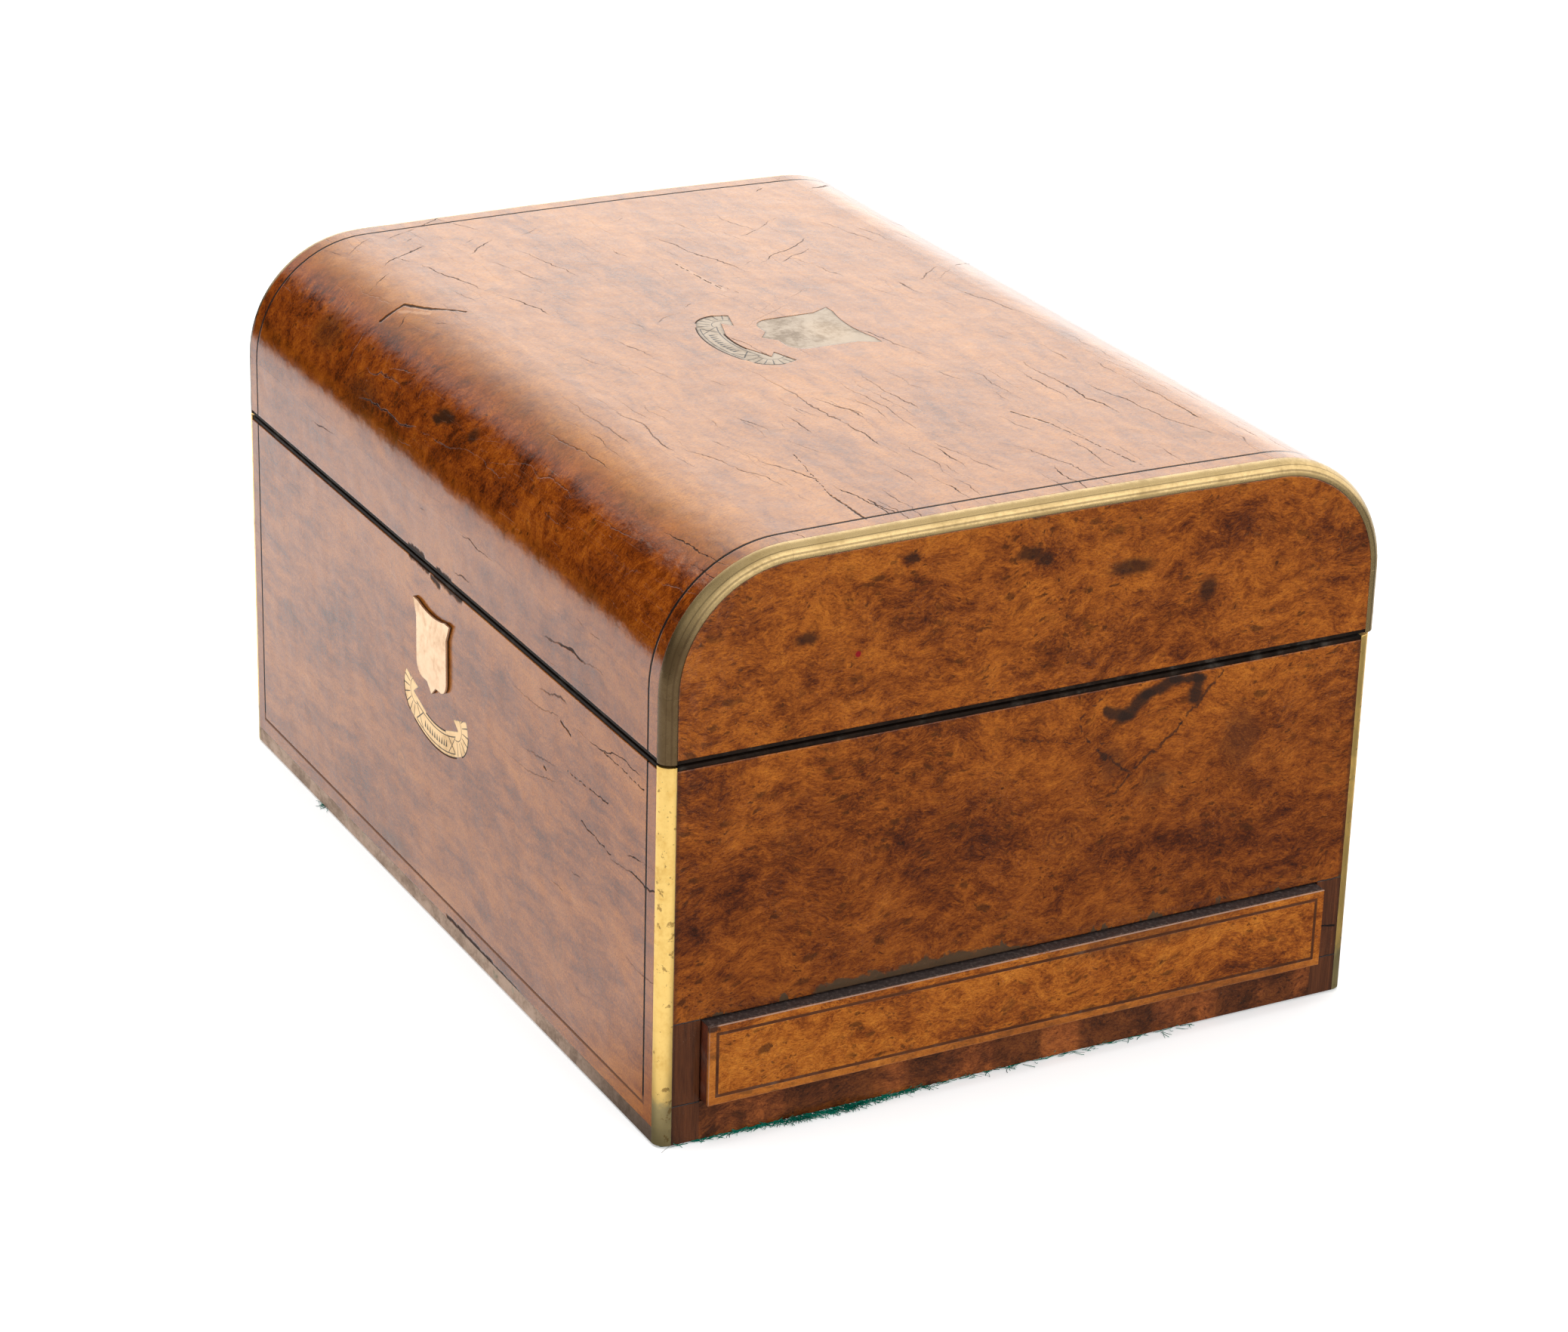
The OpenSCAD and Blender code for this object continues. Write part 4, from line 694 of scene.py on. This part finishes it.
def cover_shade_and_stains(g, colour):
    """The keyhole cover's edges, darkened as painted shade, and a few thin stains down its face."""
    face = box_mm("keyhole_cover")[0].y
    # painted shade on the cover's edges
    side = g.step(g.y, face + 0.42, face + 0.58)
    stain = g.step(g.noise(g.squash(g.p, (1, 1, 0.12)), 0.45, 4, 0.7), 0.6, 0.72, 0, 0.35)
    colour = g.mix(stain, colour, (0.62, 0.34, 0.16))
    return g.lay(colour, (0.06, 0.032, 0.016), side, 0.92)


def corner_stain(g, colour):
    """The corner's foot is greyer, with brown spots and specks along its arrises."""
    foot = g.step(g.plus(g.z, g.times(g.noise(g.p, 0.5, 3, 0.6), 6)), 20, 15)
    colour = g.lay(colour, (0.44, 0.37, 0.2), foot, 0.8)
    spots = g.times(g.step(g.noise(g.p, 0.35, 4, 0.65), 0.6, 0.66), 0.75)
    return g.mix(spots, colour, (0.3, 0.17, 0.05))


def foot_stain(g, colour):
    green = g.times(g.step(g.noise(g.p, 0.16, 5, 0.7), 0.6, 0.68), 0.45)
    return g.mix(green, colour, (0.2, 0.24, 0.17))


def plate_stain(g, colour):
    """Grey tarnish on the lid's plates, rubbed off in the middle of the shield."""
    pale = g.spot((3, 14, LID_TOP), (9, 6, 9), 0.7, 8, 0.2)
    return g.lay(colour, (0.38, 0.285, 0.19), pale, 0.6)


def pile(name, deep, lit, seed, scale=1.6, sheen=0.8):
    """Velvet or baize: a nap that is brushed this way and that."""
    g = Graph(name)
    v = g.vmath("ADD", g.p, (seed * 19, seed * 71, seed * 37))
    brushed = g.noise(v, 0.05, 4, 0.6, 1)
    nap = g.noise(v, scale, 3, 0.75)
    worn = g.step(g.noise(v, 0.11, 5, 0.65), 0.55, 0.8)
    tone = g.weigh((brushed, 0.55), (nap, 0.45))
    colour = g.ramp(tone, [(0.36, deep), (0.66, lit)])
    colour = g.mix(g.times(worn, 0.25), colour, tuple(min(1, c * 1.8 + 0.02) for c in lit))
    normal = g.bump(nap, 0.8, 0.0004)
    g.surface(Base_Color=colour, Roughness=0.95, Specular_IOR_Level=0.1, Sheen_Weight=sheen,
              Sheen_Roughness=0.35, Sheen_Tint=lit, Normal=normal)
    return g.owner


def clear_glass(name):
    g = Graph(name)
    normal = g.bump(g.noise(g.p, 0.16, 3, 0.5), 0.12, 0.0005, g.bevel(0.0008))
    smear = g.step(g.noise(g.p, 0.08, 5, 0.65), 0.45, 0.75, 0.015, 0.11)
    g.surface(Base_Color=(0.93, 0.97, 0.97), Roughness=smear, IOR=1.5, Transmission_Weight=1, Normal=normal)
    return g.owner


def old_mirror(name):
    g = Graph(name)
    fox = g.step(g.noise(g.p, 0.22, 6, 0.72), 0.66, 0.74)
    colour = g.mix(fox, (0.8, 0.83, 0.84), (0.2, 0.17, 0.13))
    g.surface(Base_Color=colour, Metallic=1, Roughness=g.scale(fox, 0.35, 0.03),
              Coat_Weight=1, Coat_Roughness=0.02)
    return g.owner


def dress(material, *nodes):
    for n in nodes:
        data = NODES[n].data
        data.materials.clear()
        data.materials.append(material)


BLACK = ((0.006, 0.004, 0.003), (0.02, 0.012, 0.008))
MAHOGANY = ((0.06, 0.012, 0.005), (0.17, 0.038, 0.013))

dress(burr("walnut_front", 1, 0, FRONT, front_marks, front_cracks, SLANTED), "front_veneer")
dress(burr("walnut_end", 2.3, 35, AMBER, end_marks), "right_veneer")
dress(burr("walnut_lid", 3.9, 0, FADED, lid_marks, lid_cracks, {**CALM, "tilt": (0, 0, -12)}),
      "lid_veneer")
dress(burr("walnut_lid_end", 5.2, 30, AMBER, lid_end_marks), "lid_end_veneers")
dress(burr("walnut_back", 6.6), "back_veneer", "left_veneer")
dress(burr("walnut_drawer", 8.1, 25, GOLD, drawer_marks, bevel=0.0002), "drawer_veneer")
dress(plain_wood("carcass", (0.12, 0.05, 0.018), (0.3, 0.145, 0.055), 1),
      "front_board", "back_board", "left_board", "right_board", "bottom_board", "dust_board",
      "drawer_runners", "lid_rails", "lid_staves", "lid_top_board", "lid_end_boards", "mirror_back")
dress(plain_wood("mahogany", *MAHOGANY, 2, "X", 0.38),
      "partitions", "tray", "mirror_frame", "drawer_sides", "drawer_back", "drawer_bottom")
dress(plain_wood("drawer_wood", *MAHOGANY, 2.5, "Y", 0.45, dusty_top), "drawer_front")
dress(plain_wood("drawer_line", (0.045, 0.014, 0.005), (0.11, 0.036, 0.012), 3.5, "Y", shine=0.1),
      "drawer_stringing")
dress(plain_wood("ebony", *BLACK, 3, shine=0.06), "base_rim", "lid_rim")
dress(plain_wood("front_line", *BLACK, 3, marks=faint_below, shine=0.06), "front_stringing")
dress(plain_wood("lid_line", *BLACK, 3, shine=0.06, coat=hazed), "lid_stringing")
dress(aged_metal("brass_lid", (0.5, 0.36, 0.165), (0.38, 0.265, 0.11), 1, 0.24, 0.45, 0.2,
                 stain=edging_reeds_and_shade, metal=0.72), "lid_edge_brass")
dress(aged_metal("brass_corner", (1, 0.68, 0.22), (0.92, 0.6, 0.17), 2, 0.38, 0.4, 0.4,
                 stain=corner_stain, lie=(0, 60, 0)), "corner_brass")
dress(aged_metal("brass_inlay", (0.88, 0.6, 0.31), (0.68, 0.45, 0.23), 3, 0.36, 0.5, 0.1,
                 marks=front_ribbon_cuts, outline=0.0005), "front_ribbon")
dress(aged_metal("brass_lid_plate", (0.3, 0.232, 0.162), (0.26, 0.2, 0.142), 3.5, 0.3, 0.5, 0.2,
                 marks=lid_plate_cuts, stain=plate_stain, outline=0.0012), "lid_cartouche")
dress(aged_metal("brass_dull", (0.44, 0.3, 0.215), (0.3, 0.205, 0.145), 4, 0.45, stain=foot_stain),
      "foot_brass")
dress(aged_metal("brass_inside", (0.72, 0.52, 0.2), (0.4, 0.29, 0.11), 5, 0.24, 0.4),
      "hinge_base_leaves", "hinge_lid_leaves", "hinge_pins", "hinge_base_screws", "hinge_lid_screws",
      "lock_case", "lock_strike", "release_pin", "pin_guides")
dress(aged_metal("copper_plate", (0.93, 0.66, 0.43), (0.86, 0.59, 0.37), 6, 0.4, 0.4, 0.1,
                 stain=cover_shade_and_stains, outline=0.0004), "keyhole_cover")
dress(aged_metal("steel", (0.45, 0.45, 0.43), (0.16, 0.15, 0.14), 7, 0.35), "lock_bolt", "kick_spring")
dress(aged_metal("silver", (0.82, 0.8, 0.75), (0.5, 0.46, 0.38), 8, 0.14, 0.35, 0.15, 0.0006),
      "square_jar_covers", "scent_bottle_caps", "long_box_covers")
dress(clear_glass("glass"), "square_jars", "scent_bottles", "long_boxes")
dress(old_mirror("mirror"), "mirror_glass")
velvet = pile("velvet", (0.05, 0.004, 0.014), (0.2, 0.02, 0.06), 1)
baize_cloth = pile("baize_cloth", (0.002, 0.11, 0.075), (0.01, 0.28, 0.19), 2, 1.2, 0.3)


# Soft pieces --------------------------------------------------------------------------------

def add_object(name, data):
    o = bpy.data.objects.new(name, data)
    bpy.context.scene.collection.objects.link(o)
    return o


def mesh_object(name, verts, faces, material):
    """A smooth-shaded mesh. Its points are in mm."""
    mesh = bpy.data.meshes.new(name)
    mesh.from_pydata([tuple(c * MM for c in v) for v in verts], [], faces)
    mesh.materials.append(material)
    mesh.polygons.foreach_set("use_smooth", [True] * len(mesh.polygons))
    return add_object(name, mesh)


def tube_faces(first, rings, n):
    """Faces of a closed tube with n points in each ring. Its points are counted from first."""
    last = first + (rings - 1) * n
    faces = [(k + i, k + (i + 1) % n, k + n + (i + 1) % n, k + n + i)
             for k in range(first, last, n) for i in range(n)]
    return faces + [tuple(range(first + n - 1, first - 1, -1)), tuple(range(last, last + n))]


def rounded_ring(x0, y0, x1, y1, r):
    """Points round a rectangle with rounded corners, the same number for every size."""
    corner, side = 6, 14
    r = max(0.02, min(r, (x1 - x0) / 2 - 0.01, (y1 - y0) / 2 - 0.01))
    centres = ((x1 - r, y1 - r), (x0 + r, y1 - r), (x0 + r, y0 + r), (x1 - r, y0 + r))
    points = []
    for k, (cx, cy) in enumerate(centres):
        for i in range(corner + 1):
            a = math.pi / 2 * (k + i / corner)
            points.append((cx + r * math.cos(a), cy + r * math.sin(a)))
        nx, ny = centres[(k + 1) % 4]
        a = math.pi / 2 * (k + 1)
        ex, ey = nx + r * math.cos(a), ny + r * math.sin(a)
        sx, sy = points[-1]
        points += [(sx + (ex - sx) * i / side, sy + (ey - sy) * i / side) for i in range(1, side)]
    return points


def ring_shell(name, lo, hi, profile, material, seed, radius=2, soft=0.15):
    """A closed soft piece: rings that go from the middle of its underside to its top's middle.

    Each step of the profile is how far the ring lies inside the box, and its height."""
    rng = random.Random(seed)
    waves = [(rng.uniform(0.05, 0.3), rng.uniform(0.05, 0.3), rng.uniform(0, 6.3)) for _ in range(6)]
    verts = []
    for inset, z, free in profile:
        for x, y in rounded_ring(lo.x + inset, lo.y + inset, hi.x - inset, hi.y - inset,
                                 radius + inset * 0.4):
            wave = sum(math.sin(a * x + b * y + c) for a, b, c in waves) / 6
            verts.append((x, y, z + soft * free * (wave - 1)))
    faces = tube_faces(0, len(profile), len(verts) // len(profile))
    return mesh_object(name, verts, faces, material)


def lining(name, lo, hi, seed):
    """A velvet lining with a rolled lip and a soft cove between its walls and its floor."""
    wall, cove, steps = 1.2, 2.2, 9
    narrow = min(hi.x - lo.x, hi.y - lo.y) / 2
    floor_z = lo.z + wall
    profile = [(0.6, lo.z, 0), (0, lo.z + 0.3, 0), (0, hi.z - 0.5, 0)]
    for i in range(7):
        a = math.pi * i / 6
        profile.append((wall / 2 - wall / 2 * math.cos(a), hi.z - wall / 2 + wall / 2 * math.sin(a), 0.6))
    for i in range(7):
        a = math.pi / 2 * i / 6
        profile.append((wall + cove - cove * math.cos(a), floor_z + cove - cove * math.sin(a), 0.2))
    for i in range(1, steps):
        profile.append((wall + cove + (narrow - wall - cove - 0.4) * i / steps, floor_z, 1))
    return ring_shell(name, lo, hi, profile, velvet, seed, 1.5, 0.35)


def roll_pad(name, x, y0, y1, z, r, seed):
    """A stuffed velvet roll that lies along the drawer, slightly drawn in at its stitches."""
    rng = random.Random(seed)
    steps, around = 90, 20
    verts = []
    for k in range(steps + 1):
        t = k / steps
        end = min(t, 1 - t) * (y1 - y0)
        swell = math.sqrt(1 - max(0, 1 - end / (r * 0.9)) ** 2)
        stitch = 0.975 + 0.02 * math.sin(t * 70 + seed) + rng.uniform(-0.008, 0.003)
        size = r * (0.25 + 0.75 * swell) * stitch
        for i in range(around):
            a = -0.17 + (math.pi + 0.34) * i / (around - 1)
            verts.append((x + size * math.cos(a), y0 + (y1 - y0) * t, z + size * math.sin(a)))
    return mesh_object(name, verts, tube_faces(0, steps + 1, around), velvet)


def laid_velvet():
    """The velvet under the jars and bottles, in one piece with a slightly lifted nap."""
    lo, hi = box_mm("floor_velvet")
    profile = [(2, lo.z, 0), (0, lo.z + 0.2, 0), (0, hi.z - 0.3, 0), (0.4, hi.z, 0.4)]
    steps = 26
    reach = (hi.y - lo.y) / 2 - 1
    profile += [(0.4 + (reach - 0.4) * i / steps, hi.z, 1) for i in range(1, steps)]
    o = ring_shell("velvet_floor", lo, hi, profile, velvet, 3, 1, 0.15)
    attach(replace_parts(o, "floor_velvet"), "case")


def tray_linings():
    """One lining for each compartment of the tray."""
    lo, hi = box_mm("tray_velvet")
    tray_lo, tray_hi = box_mm("tray")
    web = 3
    split = tray_lo.y + (tray_hi.y - tray_lo.y) * 0.36 - web / 2
    third = (hi.x - lo.x - 2 * web) / 3
    cells = [(lo.x, lo.y, hi.x, split)]
    for k in range(3):
        x = lo.x + k * (third + web)
        cells.append((x, split + web, x + third, hi.y))
    made = []
    for i, (x0, y0, x1, y1) in enumerate(cells):
        o = lining(f"tray_lining_{i + 1}", Vector((x0, y0, lo.z)), Vector((x1, y1, hi.z)), 20 + i)
        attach(o, "case")
        made.append(o)
    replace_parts(made[0], "tray_velvet")


def drawer_linings():
    """Linings of the drawer's long well and of the bed of ring rolls behind its front."""
    lo, hi = box_mm("drawer_velvet")
    rolls_lo, rolls_hi = box_mm("ring_rolls")
    split = rolls_lo.x - 0.05
    well = lining("drawer_well_lining", lo, Vector((split - 0.02, hi.y, hi.z)), 31)
    bed = lining("ring_bed_lining", Vector((split + 0.02, lo.y, lo.z)), hi, 32)
    low = rolls_lo.z + 1
    count = round((rolls_hi.x - rolls_lo.x) / (2 * (rolls_hi.z - low)))
    pitch = (rolls_hi.x - rolls_lo.x + 0.1) / count
    pads = [roll_pad(f"ring_roll_{k + 1}", rolls_lo.x + pitch * (k + 0.5), rolls_lo.y + 0.3,
                     rolls_hi.y - 0.3, low, pitch / 2 - 0.05, 40 + k) for k in range(count)]
    for o in [well, bed] + pads:
        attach(o, "drawer")
    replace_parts(well, "drawer_velvet")
    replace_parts(pads[0], "ring_rolls")


def fibres(name, count, place, length, seed):
    """Loose threads of baize: thin three-sided strands that curl away from where place puts them."""
    rng = random.Random(seed)
    steps = 5
    verts, faces = [], []
    for _ in range(count):
        p, d = place(rng)
        reach, radius = rng.uniform(*length), rng.uniform(0.06, 0.13)
        bend = Vector((rng.uniform(-1, 1), rng.uniform(-1, 1), rng.uniform(-0.6, 0.9))) * 0.5
        first = len(verts)
        for _ in range(steps + 1):
            side = d.cross(Vector((0.3, 0.2, 1))).normalized()
            up = side.cross(d).normalized()
            for i in range(3):
                a = 2 * math.pi * i / 3
                q = p + (side * math.cos(a) + up * math.sin(a)) * radius
                verts.append((q.x, q.y, max(0.06, q.z)))
            p = p + d * (reach / steps)
            d = (d + bend / steps * 2).normalized()
        faces += tube_faces(first, steps + 1, 3)
    return mesh_object(name, verts, faces, baize_cloth)


def underside():
    """The baize under the case, with the frayed edge that hangs out below the right end."""
    lo, hi = box_mm("baize")
    profile = [(0.5, hi.z, 0), (0, hi.z - 0.1, 0), (0, lo.z + 0.12, 0), (0.3, lo.z + 0.02, 0)]
    steps = 20
    profile += [(0.3 + ((hi.y - lo.y) / 2 - 2) * i / steps, lo.z + 0.02, 0) for i in range(1, steps)]
    cloth = ring_shell("baize_cloth", lo, hi, profile, baize_cloth, 5, 1, 0)
    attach(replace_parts(cloth, "baize"), "case")

    def place(rng):
        y = rng.gauss(-62, 17) if rng.random() < 0.75 else rng.uniform(-108, 60)
        y = max(-110, min(100, y))
        out = 0.25 + 1.3 * math.exp(-((y + 60) / 20) ** 2)
        start = rng.uniform(-0.4, 0.4 + 1.2 * math.exp(-((y + 60) / 16) ** 2))
        return (Vector((hi.x + 1.1 + start, y, rng.uniform(0.15, 0.9))),
                Vector((out, rng.choice((-1, 1)) * rng.uniform(0.6, 2),
                        rng.uniform(-0.2, 0.2))).normalized())

    def tuft(rng):
        return (Vector((-92 + rng.gauss(0, 1.2), lo.y + rng.uniform(-0.6, 0.4),
                        rng.uniform(0.15, 0.6))),
                Vector((rng.uniform(-1.6, 1.6), -0.8, rng.uniform(-0.1, 0.1))).normalized())

    def stray(rng):
        y = rng.uniform(-70, 60)
        return Vector((hi.x + 1.6, y, 0.25)), Vector((1, rng.uniform(-1.4, 1.4), 0.05)).normalized()

    def anywhere(rng):
        part = rng.random()
        return tuft(rng) if part < 0.022 else stray(rng) if part < 0.047 else place(rng)

    fray = fibres("baize_fray", 940, anywhere, (1.4, 4.2), 7)
    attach(fray, "case")


laid_velvet()
tray_linings()
drawer_linings()
underside()


# Studio -------------------------------------------------------------------------------------

def studio():
    """White to the camera, an even fill for matt surfaces, and for reflections a dark room with a pale
    backdrop behind the case and a dimmer panel above it."""
    world = bpy.data.worlds.new("studio")
    bpy.context.scene.world = world
    g = Graph("studio", world, "OutputWorld", "Generated", 1)
    path = g.add("LightPath").outputs
    panel = g.plus(g.step(g.y, -0.31, -0.26, 0, 0.85), g.step(g.y, -0.14, 0.28, 0, 1.35),
                   g.step(g.x, -0.55, 0.1, 0, 0.45))
    # overhead the room is dimmer again, and nowhere quite dark
    room = g.scale(panel, g.step(g.z, 0.62, 0.86, 1, 0.34), 0.02)
    mirrored = g.join("Background", (1, 0.985, 0.97), room)
    fill = g.join("Background", (1, 0.99, 0.98), 0.62)
    white = g.join("Background", (1, 1, 1), 1)
    unseen = g.join("MixShader", path["Is Glossy Ray"], fill, mirrored)
    g.put(g.out.inputs["Surface"], g.join("MixShader", path["Is Camera Ray"], unseen, white))


def area_light(name, place, aim, width, height, power):
    data = bpy.data.lights.new(name, "AREA")
    data.shape, data.size, data.size_y = "RECTANGLE", width, height
    data.energy = power
    o = add_object(name, data)
    o.location = place
    o.rotation_mode = "QUATERNION"
    o.rotation_quaternion = (Vector(aim) - Vector(place)).to_track_quat("-Z", "Y")
    return o


def floor():
    """A white sweep. Its reflection fades out towards the right, as the far floor lies in the dark."""
    mesh = bpy.data.meshes.new("floor")
    r = 6
    mesh.from_pydata([(-r, -r, 0), (r, -r, 0), (r, r, 0), (-r, r, 0)], [], [(0, 1, 2, 3)])
    o = add_object("floor", mesh)
    g = Graph("floor")
    path = g.add("LightPath").outputs
    # what the case mirrors: the paper, brightest to its left, up to its edge; dim past the right end
    lit = g.step(g.x, -40, -340, 1.14, 1.6)
    past = g.less(g.plus(g.y, 114), g.times(g.less(g.x, 152), 0.54))
    dim = g.times(g.step(past, -45, -5), g.step(g.x, 60, 150))
    shine = g.plus(g.times(lit, g.less(1, dim)), g.times(dim, 0.18))
    # the paper ends in front of the case and rises to a white backdrop behind it
    out = g.vmath("LENGTH", g.p)
    edge = g.most(g.step(out, 1060, 850), g.step(g.y, 120, 380))
    mirrored = g.join("Emission", (1, 1, 1), g.times(shine, edge))
    # what the camera sees: white paper with the case's shadow, brighter far off
    paper = g.join("BsdfDiffuse", (0.82, 0.82, 0.82))
    lift = g.step(out, 350, 1100, 0.36, 0.65)
    lift = g.join("Emission", (1, 1, 1), g.times(path["Is Camera Ray"], lift))
    seen = g.join("AddShader", paper, lift)
    g.put(g.out.inputs["Surface"], g.join("MixShader", path["Is Glossy Ray"], seen, mirrored))
    mesh.materials.append(g.owner)


def camera():
    data = bpy.data.cameras.new("camera")
    o = add_object("camera", data)
    bpy.context.scene.camera = o
    right = Vector((0.462862, 0.886082, 0.024835))
    down = Vector((0.359424, -0.161995, -0.919006))
    look = Vector((-0.810292, 0.434299, -0.393461))
    turn = Matrix((right, -down, -look)).transposed()
    o.matrix_world = Matrix.Translation((1.060026, -0.567512, 0.582897)) @ turn.to_4x4()
    data.sensor_width = 36
    data.lens = 96.778
    data.shift_x, data.shift_y = 0.00502, -0.00522
    data.clip_start, data.clip_end = 0.05, 50


studio()
floor()
area_light("overhead", (-0.3, -0.2, 1.7), (0, 0, 0.1), 1.6, 1.6, 26).visible_glossy = False
area_light("from_right", (1.6, 0.5, 1.1), (0, 0, 0.1), 1, 0.8, 14).visible_glossy = False
camera()
bpy.context.scene.view_settings.view_transform = "Standard"
